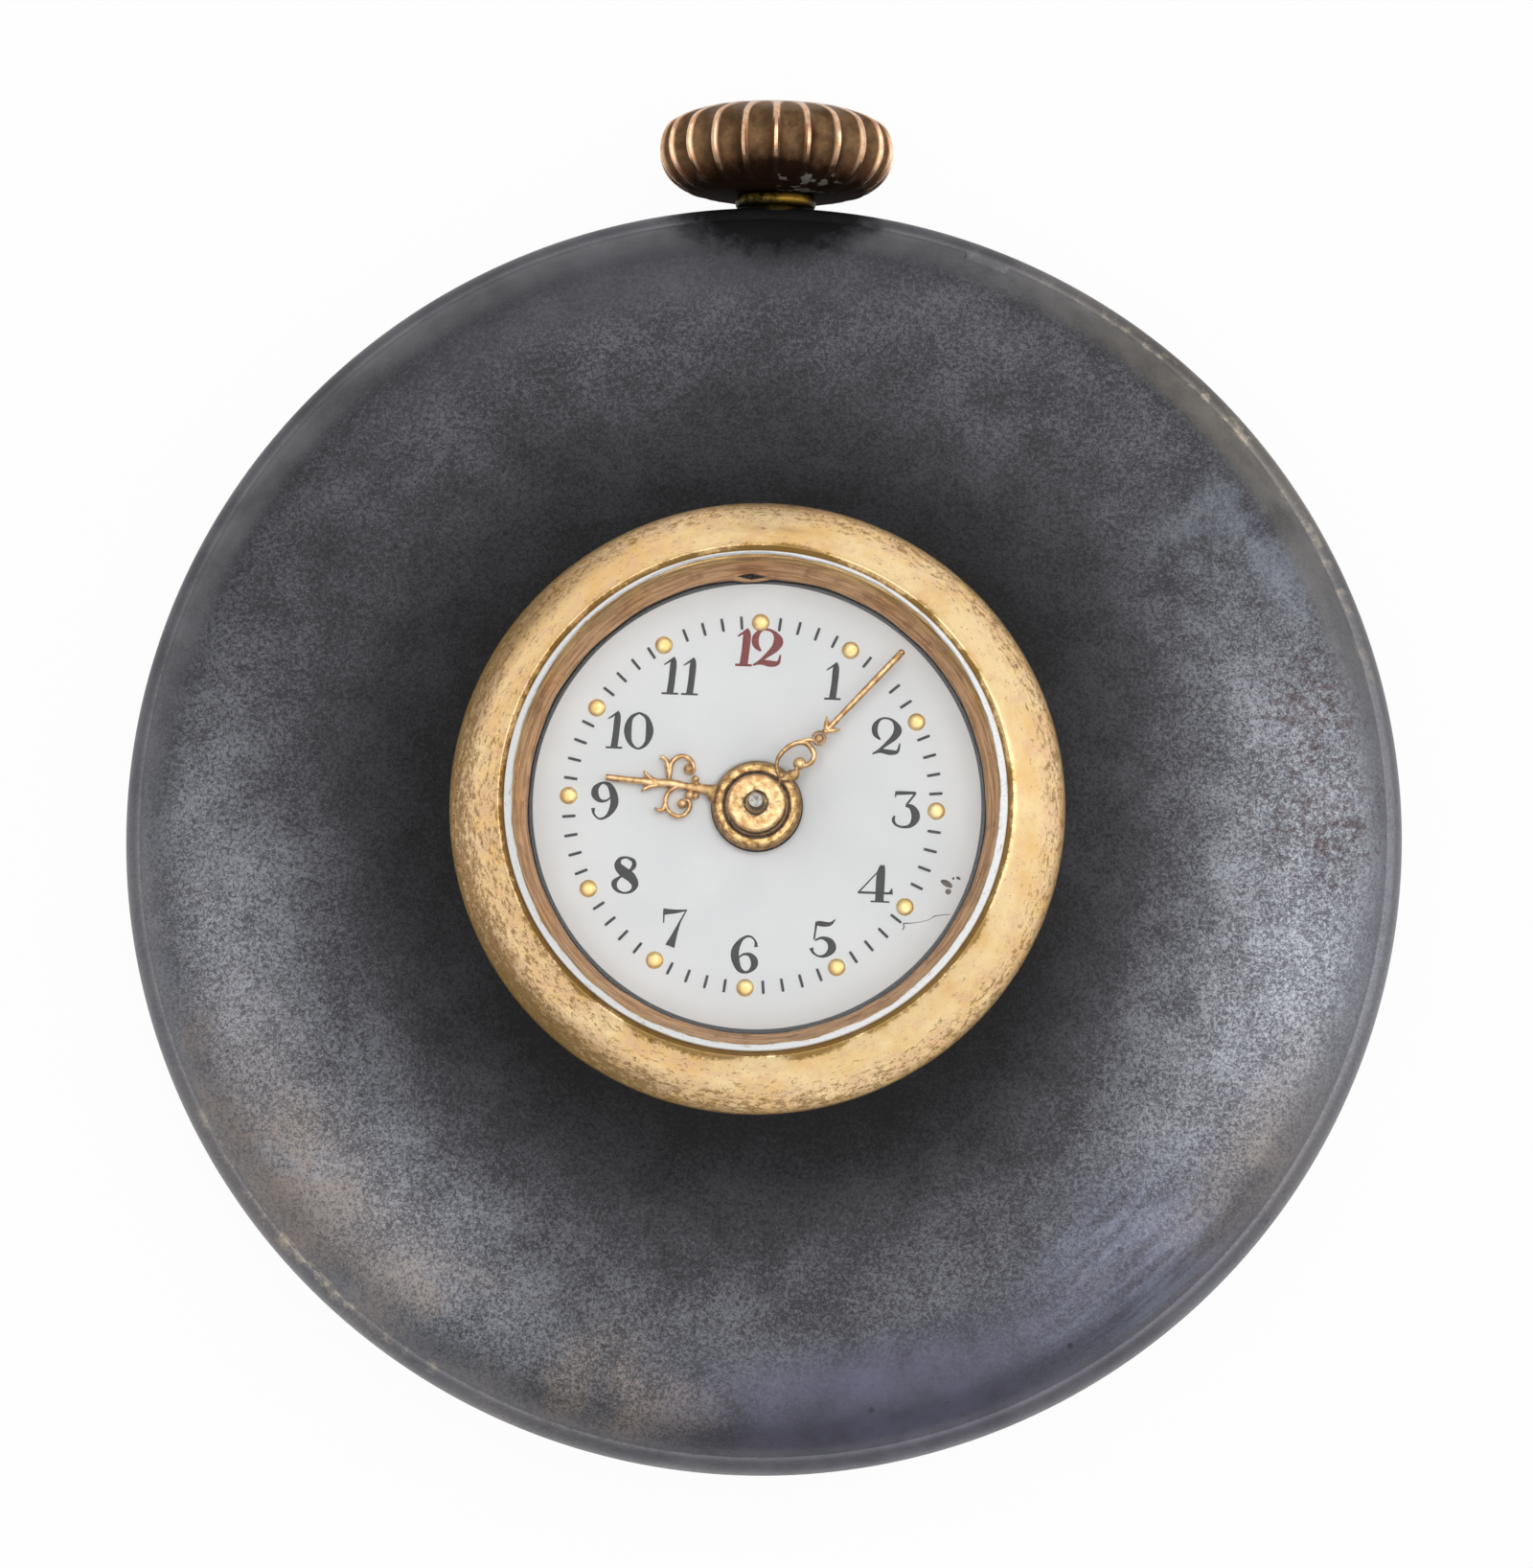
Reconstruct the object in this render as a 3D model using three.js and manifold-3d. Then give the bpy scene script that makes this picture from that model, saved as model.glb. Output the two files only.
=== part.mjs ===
// Buttonhole watch with a flared front and a small dial on its neck
// Lengths are in millimetres. The watch lies on its back with the dial facing up.
// X points to the three o'clock side, Y to the crown and Z out of the dial.
import * as THREE from 'three';
import Module from 'manifold-3d';

const wasm = await Module();
wasm.setup();

// Case sizes
const caseRadius = 14;
const backFlatRadius = 8;
const widestHeight = 2.75;
const rimRise = 0.7;
const seamInset = 0.31;
const seatWidth = 0.54;
const wall = 0.42;
const ledgeHeight = 2;
const ledgeWidth = 0.7;
const shoulderInset = 0.89;
const shoulderRise = 0.7;
const neckWall = 0.4;
const flareRise = 4.1;
const skirtDepth = 0.22;
const skirtWidth = 0.27;
const slidingFit = 0.03;
const notchWidth = 1;
const notchDepth = 0.3;

// Bezel, crystal and inner ring sizes
const bezelOverhang = 1.175;
const bezelWidestRise = 0.05;
const bezelDrop = 0.54;
const bezelRise = 1.35;
const glassEdgeHeight = 0.22;
const glassThickness = 0.3;
const glassBevelWidth = 0.2;
const glassBevelRise = 0.42;
const glassDome = 0.08;
const rehautInnerRadius = 4.93;
const rehautSlope = 0.43;
const glassLip = 0.115;
const neckLip = 0.075;

// Dial and hand sizes
const dialCover = 0.12;
const dialThickness = 0.3;
const dialProud = 0.35;
const dialHoleGap = 0.1;
const dialBaseStep = 0.15;
const dialBaseThickness = 0.25;
const dialFootInset = 0.6;
const dialFootRadius = 0.32;
const dialFootDepth = 0.2;
const dotInset = 0.93;
const dotRadius = 0.18;
const dotHeight = 0.09;
const handThickness = 0.12;
const hourHubWall = 0.37;
const minuteBossWall = 0.215;
const handBossExtra = 0.1;
const hourHandGap = 0.12;
const handGap = 0.14;
const pinRadius = 0.15;
const pinProud = 0.38;

// Crown, stem and tube sizes
const crownRadius = 2.585;
const crownLength = 1.93;
const collarHeight = 0.3;
const collarRadius = 0.8;
const crownFluteDepth = 0.24;
const crownBoreDepth = 1.1;
const tubeRadius = 0.56;
const stemRadius = 0.4;
const stemTailRadius = 0.24;
const stemGrooveRadius = 0.24;
const runningFit = 0.03;
const overrun = 1;
const crownTravel = 0.7;

// Plates and ring
const stemToPlate = 0.7;
const plateThickness = 0.7;
const plateRimThickness = 0.4;
const ringWidth = 1.85;
const flangeInset = 0.95;
const raisedMargin = 0.3;
const flangeLap = 0.3;
const flangeDrop = 0.55;
const ringGap = 0.1;
const bridgeThickness = 0.6;
const bridgeInset = 0.5;
const footWidth = 0.9;
const cockFootWidth = 2.34;
const plateRecess = 0.25;
const barrelSink = 0.11;
const recessGap = 0.08;
const screwHeadRadius = 0.42;
const screwHeadHeight = 0.2;
const screwShaftRadius = 0.2;
const screwSlotWidth = 0.12;
const screwSlotDepth = 0.08;
const caseScrewHeadRadius = 0.5;

// Going train
const wheelThickness = 0.14;
const arborRadius = 0.11;
const pivotRadius = 0.07;
const levelGap = 0.06;
const balanceRimWidth = 0.35;
const balanceHeight = 0.3;
const cylinderRadius = 0.28;
const hubRadius = 0.55;
const spokeWidth = 0.3;
const hairspringInnerRadius = 0.42;
const hairspringWidth = 0.05;
const hairspringHeight = 0.12;

// Barrel and winding work
const barrelHeight = 1.1;
const barrelWall = 0.22;
const barrelFloor = 0.15;
const barrelToothHeight = 0.3;
const barrelCoreRadius = 0.9;
const barrelArborRadius = 0.45;
const springThickness = 0.12;
const ratchetThickness = 0.4;
const windingMesh = 0.29;
const windingDepth = 0.17;
const slidingGap = 0.01;
const windingPinionLength = 1.05;
const slidingPinionLength = 1.3;
const slidingGrooveRadius = 0.7;
const slidingGrooveWidth = 0.4;
const leverThickness = 0.2;
const leverWidth = 0.5;

// Motion work
const motionThickness = 0.3;
const pipeWall = 0.2;

// Small fittings
const postRadius = 0.35;
const pinHoleRadius = 0.32;
const pivotDepth = 0.1;
const stemTail = 0.9;
const cockWidth = 1.3;
const escapeArmWidth = 0.12;
const studRadius = 0.1;
const regulatorRadius = 0.85;
const regulatorReach = 1.6;
const leverPivotAcross = 2.3;
const scrollWidth = 0.11;
const handStemWidth = 0.13;
const ballRadius = 0.1;
const ringRadius = 0.2;
const handInset = 0.36;
const handDifference = 1.22;

// Counts and angles in degrees
const roundSteps = 40;
const ringSteps = 24;
const smallSteps = 14;
const tinySteps = 8;
const windowSteps = 3;
const barrelTeeth = 64;
const centreTeeth = 64;
const thirdTeeth = 60;
const fourthTeeth = 70;
const pinionTeeth = 8;
const escapePinionTeeth = 7;
const escapeTeeth = 15;
const ratchetTeeth = 36;
const crownWheelTeeth = 32;
const windingPinionTeeth = 12;
const cannonTeeth = 10;
const minuteTeeth = 30;
const minutePinionTeeth = 8;
const hourTeeth = 32;
const settingTeeth = 35;
const fineTeeth = 30;
const crownRidges = 22;
const dialHours = 12;
const bowlSteps = 6;
const innerBowlSteps = 3;
const poolSteps = 20;
const dotSteps = 6;
const screwSteps = 8;
const trainSpokes = 4;
const escapeSpokes = 3;
const balanceSpokes = 3;
const dialFeetCount = 3;
const shaftSteps = 6;
const bridgeSteps = 20;
const loopSteps = 16;
const mainspringLoops = 5;
const hairspringLoops = 5;
const quarterTurn = 90;
const halfTurn = 180;
const fullTurn = 360;
const thirdAngle = 166.2;
const fourthAngle = 269.8;
const escapeAngle = 294.7;
const balanceAngle = 294.4;
const hourHandAngle = 280.1;
const minuteHandAngle = 42.7;
const dialTurn = 1.2;
const dialFootAngle = 30;
const notchAngle = 20.2;
const balanceFootAngle = 312;
const balanceFootTurn = 0;
const thirdFootAngle = 156;
const fourthFootAngle = 186;
const escapeFootAngle = 226;
const footSpread = 7;
const bridgeFrom = -28;
const bridgeTo = 118;
const bridgeFootAngles = [[-22, 40], [62, 74], [106, 116]];
const bridgeScrewAngles = [10, 111, 156, 186, 226, 312];
const caseScrewAngles = [30, 210];
const cocksFrom = 2;
const clickAngle = 300;
const clickNoseTurn = 14;
const clickSpringTurn = 40;
const clickSpringGap = 4;
const escapeHeadTurn = 6;

// Shares that shape the curves
const barrelToothShare = 0.01239;
const centreToothShare = 0.009292;
const thirdToothShare = 0.007965;
const fourthToothShare = 0.006442;
const windingToothShare = 0.016814;
const crownWheelShare = 0.54867;
const escapeShare = 0.17257;
const stalkShare = 0.4;
const balanceShare = 0.34513;
const hairspringShare = 0.177;
const cannonPipeShare = 0.84;
const centreArborShare = 0.714;
const motionPostShare = 0.6;
const cockHeightShare = 0.8;
const balanceCockShare = 1.6;
const bridgeScrewShares = [0.955, 0.955, 0.9, 0.9, 0.9, 0.9];
const toothTipShare = 0.06;
const addendumShare = 0.9;
const dedendumShare = 1.25;
const halfShare = 0.5;
const doubleShare = 2;
const wideShare = 0.8;
const flareRadiusShares = [0, 0.18, 0.345, 0.497, 0.62, 0.731, 0.828, 0.903, 0.958, 0.99, 1, 1];
const flareHeightShares = [0, 0.056, 0.11, 0.171, 0.237, 0.317, 0.415, 0.524, 0.646, 0.77, 0.88, 1];
const shoulderShares = [[0.2, 0.42], [0.56, 0.8]];
const bezelOuterShares = [[0.04, 0.28], [0.2, 0.58], [0.52, 0.84], [0.9, 1]];
const bezelUnderShares = [[0.12, 0.55], [0.5, 0.94]];
const domeShares = [0, 0.5, 1];
const crownLengthShares = [0, 0.06, 0.24, 0.5, 0.8, 0.97];
const crownRadiusShares = [0.6, 0.84, 0.965, 1, 0.92, 0.64];
const crownPointShares = [[0, 0], [0.16, 0], [0.42, 1], [0.74, 1]];
const rimShare = 0.12;
const escapeRimShare = 0.7;
const cylinderShare = 0.1;
const cockReachShare = 0.97;
const bridgeEdgeShares = [[-0.43, 0.8], [-0.33, 0.56], [-0.22, 0.28], [-0.09, 0.05], [-0.07, -0.07],
  [0.03, -0.1], [0.14, -0.12], [0.4, -0.24]];
const hourScrollShares = [
  [[0.6, 0], [0.585, 0.09], [0.575, 0.155], [0.535, 0.218], [0.454, 0.2], [0.424, 0.125], [0.455, 0.11]],
  [[0.6, 0], [0.593, -0.07], [0.59, -0.134], [0.525, -0.188], [0.45, -0.17], [0.42, -0.107],
    [0.455, -0.09]],
  [[0.575, 0.155], [0.66, 0.185]],
  [[0.59, -0.134], [0.657, -0.164]],
  [[0.716, 0], [0.764, 0.072]],
  [[0.716, 0], [0.758, -0.06]],
];
const hourBallShares = [[0.472, 0.131], [0.48, -0.104]];
const hourStemShares = [0.63, 1];
const minuteScrollShares = [
  [[0.13, 0.01], [0.197, -0.068], [0.271, -0.081], [0.357, -0.033], [0.368, 0.033], [0.322, 0.077],
    [0.273, 0.066], [0.262, 0.024]],
  [[0.516, 0], [0.527, -0.046]],
  [[0.516, 0], [0.536, 0.044]],
];
const minuteStemShares = [0.36, 0.6, 1];
const minuteNeckShares = [0.2, 0.02];
const minuteBallShares = [0.262, 0.024];
const minuteRingShare = 0.431;
const fluteShares = [0.2, 0.6, 1, 1, 0.7, 0.2];

// Widths worked out from the sizes, from the case in to the plates
const seamRadius = caseRadius - seamInset;
const cavityRadius = seamRadius - seatWidth;
const shoulderRadius = seamRadius - shoulderInset;
const flangeRadius = cavityRadius - flangeInset;
const plateRadius = cavityRadius - ringWidth;
const bridgeRadius = plateRadius - bridgeInset;
const flangeWidth = flangeRadius - plateRadius + flangeLap;

// From the inner ring out to the bezel and in to the hands
const dialRadius = rehautInnerRadius + dialCover;
const dialBaseRadius = dialRadius - dialBaseStep;
const dialFootCircle = dialBaseRadius - dialFootInset;
const dotCircle = rehautInnerRadius - dotInset;
const rehautTopRadius = rehautInnerRadius + rehautSlope;
const glassRadius = rehautTopRadius + glassLip;
const neckRadius = glassRadius + neckLip;
const bezelRadius = neckRadius + bezelOverhang;
const minuteHandReach = rehautInnerRadius - handInset;
const hourHandReach = minuteHandReach - handDifference;

// Tooth sizes are pitch diameter per tooth, and follow the plate
const barrelModule = plateRadius * barrelToothShare;
const centreModule = plateRadius * centreToothShare;
const thirdModule = plateRadius * thirdToothShare;
const fourthModule = plateRadius * fourthToothShare;
const windingModule = plateRadius * windingToothShare;
const escapeRadius = plateRadius * escapeShare;
const balanceRadius = plateRadius * balanceShare;
const hairspringRadius = plateRadius * hairspringShare;
const crownWheelDistance = plateRadius * crownWheelShare;

// Heights worked out from the sizes
const seamHeight = widestHeight + rimRise;
const shoulderHeight = seamHeight + shoulderRise;
const neckTop = shoulderHeight + flareRise;
const dialTop = neckTop + dialProud;
const dialBottom = dialTop - dialThickness;
const dialBaseBottom = dialBottom - dialBaseThickness;
const bezelWidestHeight = neckTop + bezelWidestRise;
const bezelTop = bezelWidestHeight + bezelRise;
const glassSeat = bezelTop - glassEdgeHeight;
const hourHandBottom = dialTop + hourHandGap;
const hourHandTop = hourHandBottom + handThickness;
const hourHubTop = hourHandTop + handBossExtra;
const minuteHandBottom = hourHubTop + handGap;
const minuteHandTop = minuteHandBottom + handThickness;
const minuteBossTop = minuteHandTop + handBossExtra;
const pinTop = minuteBossTop + pinProud;
const plateBottom = widestHeight + stemToPlate;
const plateTop = plateBottom + plateThickness;
const plateRimTop = plateBottom + plateRimThickness;
const barrelRecess = barrelSink + recessGap * halfShare;
const trainSpace = levelGap + wheelThickness + levelGap + barrelHeight - barrelSink;
const bridgeFront = plateBottom - trainSpace;
const bridgeBack = bridgeFront - bridgeThickness;
const ratchetFront = bridgeBack - levelGap;
const ratchetBack = ratchetFront - ratchetThickness;
const windingPinionRadius = widestHeight - ratchetFront + windingDepth;
const slidingPinionRadius = widestHeight - ratchetFront - slidingGap;
const ratchetScrewBack = ratchetBack - screwHeadHeight;
const ringTop = plateBottom - flangeDrop;
const ringBottom = ledgeHeight;
const recessFloor = plateTop - plateRecess;
const centreWheelLow = bridgeFront + levelGap;
const centreWheelHigh = centreWheelLow + wheelThickness;
const fourthWheelLow = centreWheelHigh + levelGap + levelGap;
const fourthWheelHigh = fourthWheelLow + wheelThickness;
const escapeHeadLow = fourthWheelHigh + levelGap + levelGap;
const escapeHeadHigh = escapeHeadLow + wheelThickness;
const thirdWheelLow = escapeHeadHigh + levelGap;
const thirdWheelHigh = thirdWheelLow + wheelThickness;
const escapeWheelHigh = plateBottom - levelGap;
const escapeWheelLow = escapeWheelHigh - wheelThickness;
const barrelLow = centreWheelHigh + levelGap;
const barrelHigh = barrelLow + barrelHeight;
const barrelToothLow = thirdWheelLow;
const barrelToothHigh = barrelToothLow + barrelToothHeight;
const escapeCockBack = bridgeFront - levelGap;
const escapeCockFront = fourthWheelLow - levelGap;
const balanceHigh = escapeCockBack - levelGap;
const balanceLow = balanceHigh - balanceHeight;
const hairspringHigh = balanceLow - levelGap;
const hairspringLow = hairspringHigh - hairspringHeight;
const balanceCockFront = hairspringLow - levelGap;
const balanceCockBack = balanceCockFront - bridgeThickness * cockHeightShare;
const regulatorFront = balanceCockBack - levelGap * halfShare;
const regulatorBack = regulatorFront - wheelThickness;
const motionLow = recessFloor + levelGap;
const motionHigh = motionLow + motionThickness;
const hourWheelLow = motionHigh + levelGap;
const hourWheelHigh = hourWheelLow + motionThickness;
const leverLow = plateRimTop + levelGap * halfShare;
const leverHigh = leverLow + leverThickness;

// Places of the arbors
const barrelDistance = (barrelTeeth + pinionTeeth) * barrelModule * halfShare;
const centreDistance = (centreTeeth + pinionTeeth) * centreModule * halfShare;
const thirdDistance = (thirdTeeth + pinionTeeth) * thirdModule * halfShare;
const fourthDistance = (fourthTeeth + escapePinionTeeth) * fourthModule * halfShare;
const windingDistance = (ratchetTeeth + crownWheelTeeth) * windingModule * halfShare;
const centrePlace = [0, 0];
const crownWheelPlace = [0, crownWheelDistance];
const barrelPlace = meetingPoint(barrelDistance, windingDistance, crownWheelDistance);
const thirdPlace = placeAt(centrePlace, centreDistance, thirdAngle);
const fourthPlace = placeAt(thirdPlace, thirdDistance, fourthAngle);
const escapePlace = placeAt(fourthPlace, fourthDistance, escapeAngle);
const balancePlace = placeAt(escapePlace, escapeRadius, balanceAngle);
const crownWheelReach = crownWheelDistance + crownWheelTeeth * windingModule * halfShare;
const windingStart = crownWheelReach + windingModule * addendumShare - windingMesh;
const windingEnd = windingStart + windingPinionLength;
const slidingEnd = windingStart - levelGap;
const slidingStart = slidingEnd - slidingPinionLength;
const settingReach = slidingStart - crownTravel - levelGap;
const settingTrainTeeth = cannonTeeth + minuteTeeth + minuteTeeth + settingTeeth + settingTeeth;
const motionModule = settingReach / (settingTrainTeeth * halfShare);
const minuteDistance = (cannonTeeth + minuteTeeth) * motionModule * halfShare;
const minutePlace = [0, minuteDistance];
const settingDistance = (minuteTeeth + settingTeeth) * motionModule * halfShare;
const settingPlace = [0, minuteDistance + settingDistance];
const plateRaisedRadius = settingReach + raisedMargin;
const cannonRadius = cannonTeeth * motionModule * halfShare * cannonPipeShare;
const centreArborRadius = cannonRadius * centreArborShare;
const hourPipeRadius = cannonRadius + pipeWall;
const minuteBossRadius = cannonRadius + minuteBossWall;
const hourHubRadius = hourPipeRadius + hourHubWall;
const dialHoleRadius = hourPipeRadius + dialHoleGap;
const motionPostRadius = minutePinionTeeth * motionModule * halfShare * motionPostShare;
const stemGrooveStart = windingEnd + levelGap + levelGap;
const stemGrooveEnd = stemGrooveStart + slidingGrooveWidth;
const bridgeScrewPlaces = bridgeScrewShares.map((share, index) => (
  placeAt(centrePlace, bridgeRadius * share, bridgeScrewAngles[index])));
const crownStart = caseRadius + collarHeight;
const crownEnd = crownStart + crownLength;
const clickPlace = placeAt(barrelPlace, ratchetTeeth * windingModule * halfShare + leverWidth + leverWidth,
  clickAngle);

function placeAt(from, distance, angle) {
  const turn = THREE.MathUtils.degToRad(angle);
  return [from[0] + distance * Math.cos(turn), from[1] + distance * Math.sin(turn)];
}

// The point at one distance from the centre and another from a place on the Y axis
function meetingPoint(fromCentre, fromAxis, axisPlace) {
  const along = (fromCentre ** 2 - fromAxis ** 2 + axisPlace ** 2) / (axisPlace + axisPlace);
  return [Math.sqrt(fromCentre ** 2 - along ** 2), along];
}

// A solid is a list of points and a list of three-cornered faces that look outwards
function solidFrom(points, faces) {
  let volume = 0;
  for (const [a, b, c] of faces) {
    const first = new THREE.Vector3(...points[a]);
    const second = new THREE.Vector3(...points[b]);
    const third = new THREE.Vector3(...points[c]);
    volume += first.dot(second.cross(third));
  }
  const outward = volume > 0 ? faces : faces.map(([a, b, c]) => [a, c, b]);
  return { points, faces: outward };
}

// Turns a closed outline of radius and height pairs round the Z axis
function turned(outline, steps = roundSteps) {
  const points = [];
  const rings = outline.map(([radius, height]) => {
    const count = radius === 0 ? 1 : steps;
    const start = points.length;
    for (let step = 0; step < count; step += 1) {
      const turn = (step / steps) * Math.PI * 2;
      points.push([radius * Math.cos(turn), radius * Math.sin(turn), height]);
    }
    return { start, count };
  });
  const faces = [];
  rings.forEach((ring, index) => {
    const next = rings[(index + 1) % rings.length];
    for (let step = 0; step < steps; step += 1) {
      const a = ring.start + (ring.count === 1 ? 0 : step);
      const b = ring.start + (ring.count === 1 ? 0 : (step + 1) % steps);
      const c = next.start + (next.count === 1 ? 0 : step);
      const d = next.start + (next.count === 1 ? 0 : (step + 1) % steps);
      if (ring.count > 1) faces.push([a, b, d]);
      if (next.count > 1) faces.push([a, d, c]);
    }
  });
  return solidFrom(points, faces);
}

function disc(radius, low, high, steps = smallSteps) {
  return turned([[0, low], [radius, low], [radius, high], [0, high]], steps);
}

function sleeve(inner, outer, low, high, steps = smallSteps) {
  return turned([[inner, low], [outer, low], [outer, high], [inner, high]], steps);
}

// Raises a flat outline with holes between two heights
function prism(outline, holes, low, high) {
  const contour = outline.map(([x, y]) => new THREE.Vector2(x, y));
  if (THREE.ShapeUtils.isClockWise(contour)) contour.reverse();
  const inner = holes.map((hole) => {
    const loop = hole.map(([x, y]) => new THREE.Vector2(x, y));
    if (!THREE.ShapeUtils.isClockWise(loop)) loop.reverse();
    return loop;
  });
  const flat = THREE.ShapeUtils.triangulateShape(contour, inner);
  const loops = [contour, ...inner];
  const total = loops.reduce((sum, loop) => sum + loop.length, 0);
  const points = [];
  for (const height of [low, high]) {
    for (const loop of loops) loop.forEach((point) => points.push([point.x, point.y, height]));
  }
  const faces = [];
  for (const [a, b, c] of flat) {
    faces.push([a, c, b]);
    faces.push([a + total, b + total, c + total]);
  }
  let start = 0;
  for (const loop of loops) {
    for (let step = 0; step < loop.length; step += 1) {
      const a = start + step;
      const b = start + ((step + 1) % loop.length);
      faces.push([a, b, b + total]);
      faces.push([a, b + total, a + total]);
    }
    start += loop.length;
  }
  return solidFrom(points, faces);
}

function changed(solid, change) {
  return solidFrom(solid.points.map(change), solid.faces);
}

function moved(solid, [x, y, z = 0]) {
  return changed(solid, (point) => [point[0] + x, point[1] + y, point[2] + z]);
}

function spun(solid, angle) {
  const turn = THREE.MathUtils.degToRad(angle);
  const cosine = Math.cos(turn);
  const sine = Math.sin(turn);
  return changed(solid, ([x, y, z]) => [x * cosine - y * sine, x * sine + y * cosine, z]);
}

// Lays a solid made about the Z axis along the stem
function alongStem(solid) {
  return changed(solid, ([x, y, z]) => [x, z, widestHeight - y]);
}

function toBody({ points, faces }) {
  const vertProperties = Float32Array.from(points.flat());
  const triVerts = Uint32Array.from(faces.flat());
  return new wasm.Manifold(new wasm.Mesh({ numProp: 3, vertProperties, triVerts }));
}

function fromBody(body) {
  const mesh = body.getMesh();
  const points = [];
  const faces = [];
  for (let at = 0; at < mesh.vertProperties.length; at += mesh.numProp) {
    points.push(Array.from(mesh.vertProperties.slice(at, at + 3)));
  }
  for (let at = 0; at < mesh.triVerts.length; at += 3) {
    faces.push(Array.from(mesh.triVerts.slice(at, at + 3)));
  }
  return { points, faces };
}

function joined(...solids) {
  return fromBody(solids.map(toBody).reduce((whole, part) => whole.add(part)));
}

function cut(solid, ...tools) {
  return fromBody(tools.map(toBody).reduce((whole, tool) => whole.subtract(tool), toBody(solid)));
}

// A strip of even width along a line of places
function strip(places, width, low, high) {
  const half = width * halfShare;
  const left = [];
  const right = [];
  places.forEach((place, index) => {
    const before = places[Math.max(index - 1, 0)];
    const after = places[Math.min(index + 1, places.length - 1)];
    const length = Math.hypot(after[0] - before[0], after[1] - before[1]);
    const acrossX = (-(after[1] - before[1]) / length) * half;
    const acrossY = ((after[0] - before[0]) / length) * half;
    left.push([place[0] + acrossX, place[1] + acrossY]);
    right.push([place[0] - acrossX, place[1] - acrossY]);
  });
  return prism([...left, ...right.reverse()], [], low, high);
}

function arc(radius, from, to, steps, centre = centrePlace) {
  const places = [];
  for (let step = 0; step <= steps; step += 1) {
    places.push(placeAt(centre, radius, from + ((to - from) * step) / steps));
  }
  return places;
}

// A sector of a ring, used for the feet of bridges
function sector(inner, outer, from, to, low, high) {
  const outline = [...arc(outer, from, to, tinySteps), ...arc(inner, to, from, tinySteps)];
  return prism(outline, [], low, high);
}

// Teeth with flat tips where there are few of them, and with plain points on the fine wheels
function toothOutline(teeth, module, phase) {
  const pitchRadius = teeth * module * halfShare;
  const pitch = fullTurn / teeth;
  const tips = teeth < fineTeeth ? [-toothTipShare, toothTipShare] : [0];
  const outline = [];
  for (let tooth = 0; tooth < teeth; tooth += 1) {
    const middle = phase + tooth * pitch;
    for (const tip of tips) {
      outline.push(placeAt(centrePlace, pitchRadius + module * addendumShare, middle + pitch * tip));
    }
    outline.push(placeAt(centrePlace, pitchRadius - module * dedendumShare, middle + pitch * halfShare));
  }
  return outline;
}

// Turns the second wheel so that its teeth fall between those of the first
function meshPhase(phase, teeth, direction, otherTeeth) {
  const past = ((direction - phase) * teeth) / fullTurn;
  return direction + halfTurn + ((past + halfShare) * fullTurn) / otherTeeth;
}

function directionTo(from, to) {
  return THREE.MathUtils.radToDeg(Math.atan2(to[1] - from[1], to[0] - from[0]));
}

// Windows between the spokes of a wheel
function windows(count, inner, outer, spokeWidth) {
  const holes = [];
  for (let index = 0; index < count; index += 1) {
    const from = (index * fullTurn) / count;
    const to = ((index + 1) * fullTurn) / count;
    const outerTrim = THREE.MathUtils.radToDeg(Math.asin((spokeWidth * halfShare) / outer));
    const innerTrim = THREE.MathUtils.radToDeg(Math.asin((spokeWidth * halfShare) / inner));
    const rim = arc(outer, from + outerTrim, to - outerTrim, windowSteps);
    const hub = arc(inner, to - innerTrim, from + innerTrim, 1);
    holes.push([...rim, ...hub]);
  }
  return holes;
}

// A train wheel with its pinion and arbor in one piece
function trainWheel({ teeth, module, phase, low, high, spokes, pinion, arbor }) {
  const rim = teeth * module * halfShare - module * dedendumShare - spokeWidth;
  const wheel = prism(toothOutline(teeth, module, phase), windows(spokes, hubRadius, rim, spokeWidth), low,
    high);
  const leaves = prism(toothOutline(pinion.teeth, pinion.module, pinion.phase), [], pinion.low,
    pinion.high);
  const shaft = turned([
    [0, arbor.low], [pivotRadius, arbor.low], [pivotRadius, arbor.lowShoulder],
    [arborRadius, arbor.lowShoulder], [arborRadius, arbor.highShoulder],
    [pivotRadius, arbor.highShoulder], [pivotRadius, arbor.high], [0, arbor.high],
  ], tinySteps);
  return joined(wheel, leaves, shaft);
}

const watch = new THREE.Group();
watch.name = 'buttonhole_watch';

function addPiece(name, solid, colour, roughness, metalness, opacity = 1) {
  const geometry = new THREE.BufferGeometry();
  geometry.setAttribute('position', new THREE.Float32BufferAttribute(solid.points.flat(), 3));
  geometry.setIndex(solid.faces.flat());
  geometry.computeVertexNormals();
  const look = { color: colour, roughness, metalness, opacity, transparent: opacity < 1,
    flatShading: true };
  const mesh = new THREE.Mesh(geometry, new THREE.MeshStandardMaterial(look));
  mesh.name = name;
  watch.add(mesh);
}

const gunmetal = '#4b4e57';
const rosegold = '#c99a6c';
const copper = '#a86f48';
const enamel = '#dedad4';
const gilt = '#c9a257';
const brass = '#b8954f';
const steel = '#9a9da3';
const blueSteel = '#34426e';
const glassColour = '#dfe8ea';
const ruby = '#a8324a';

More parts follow.
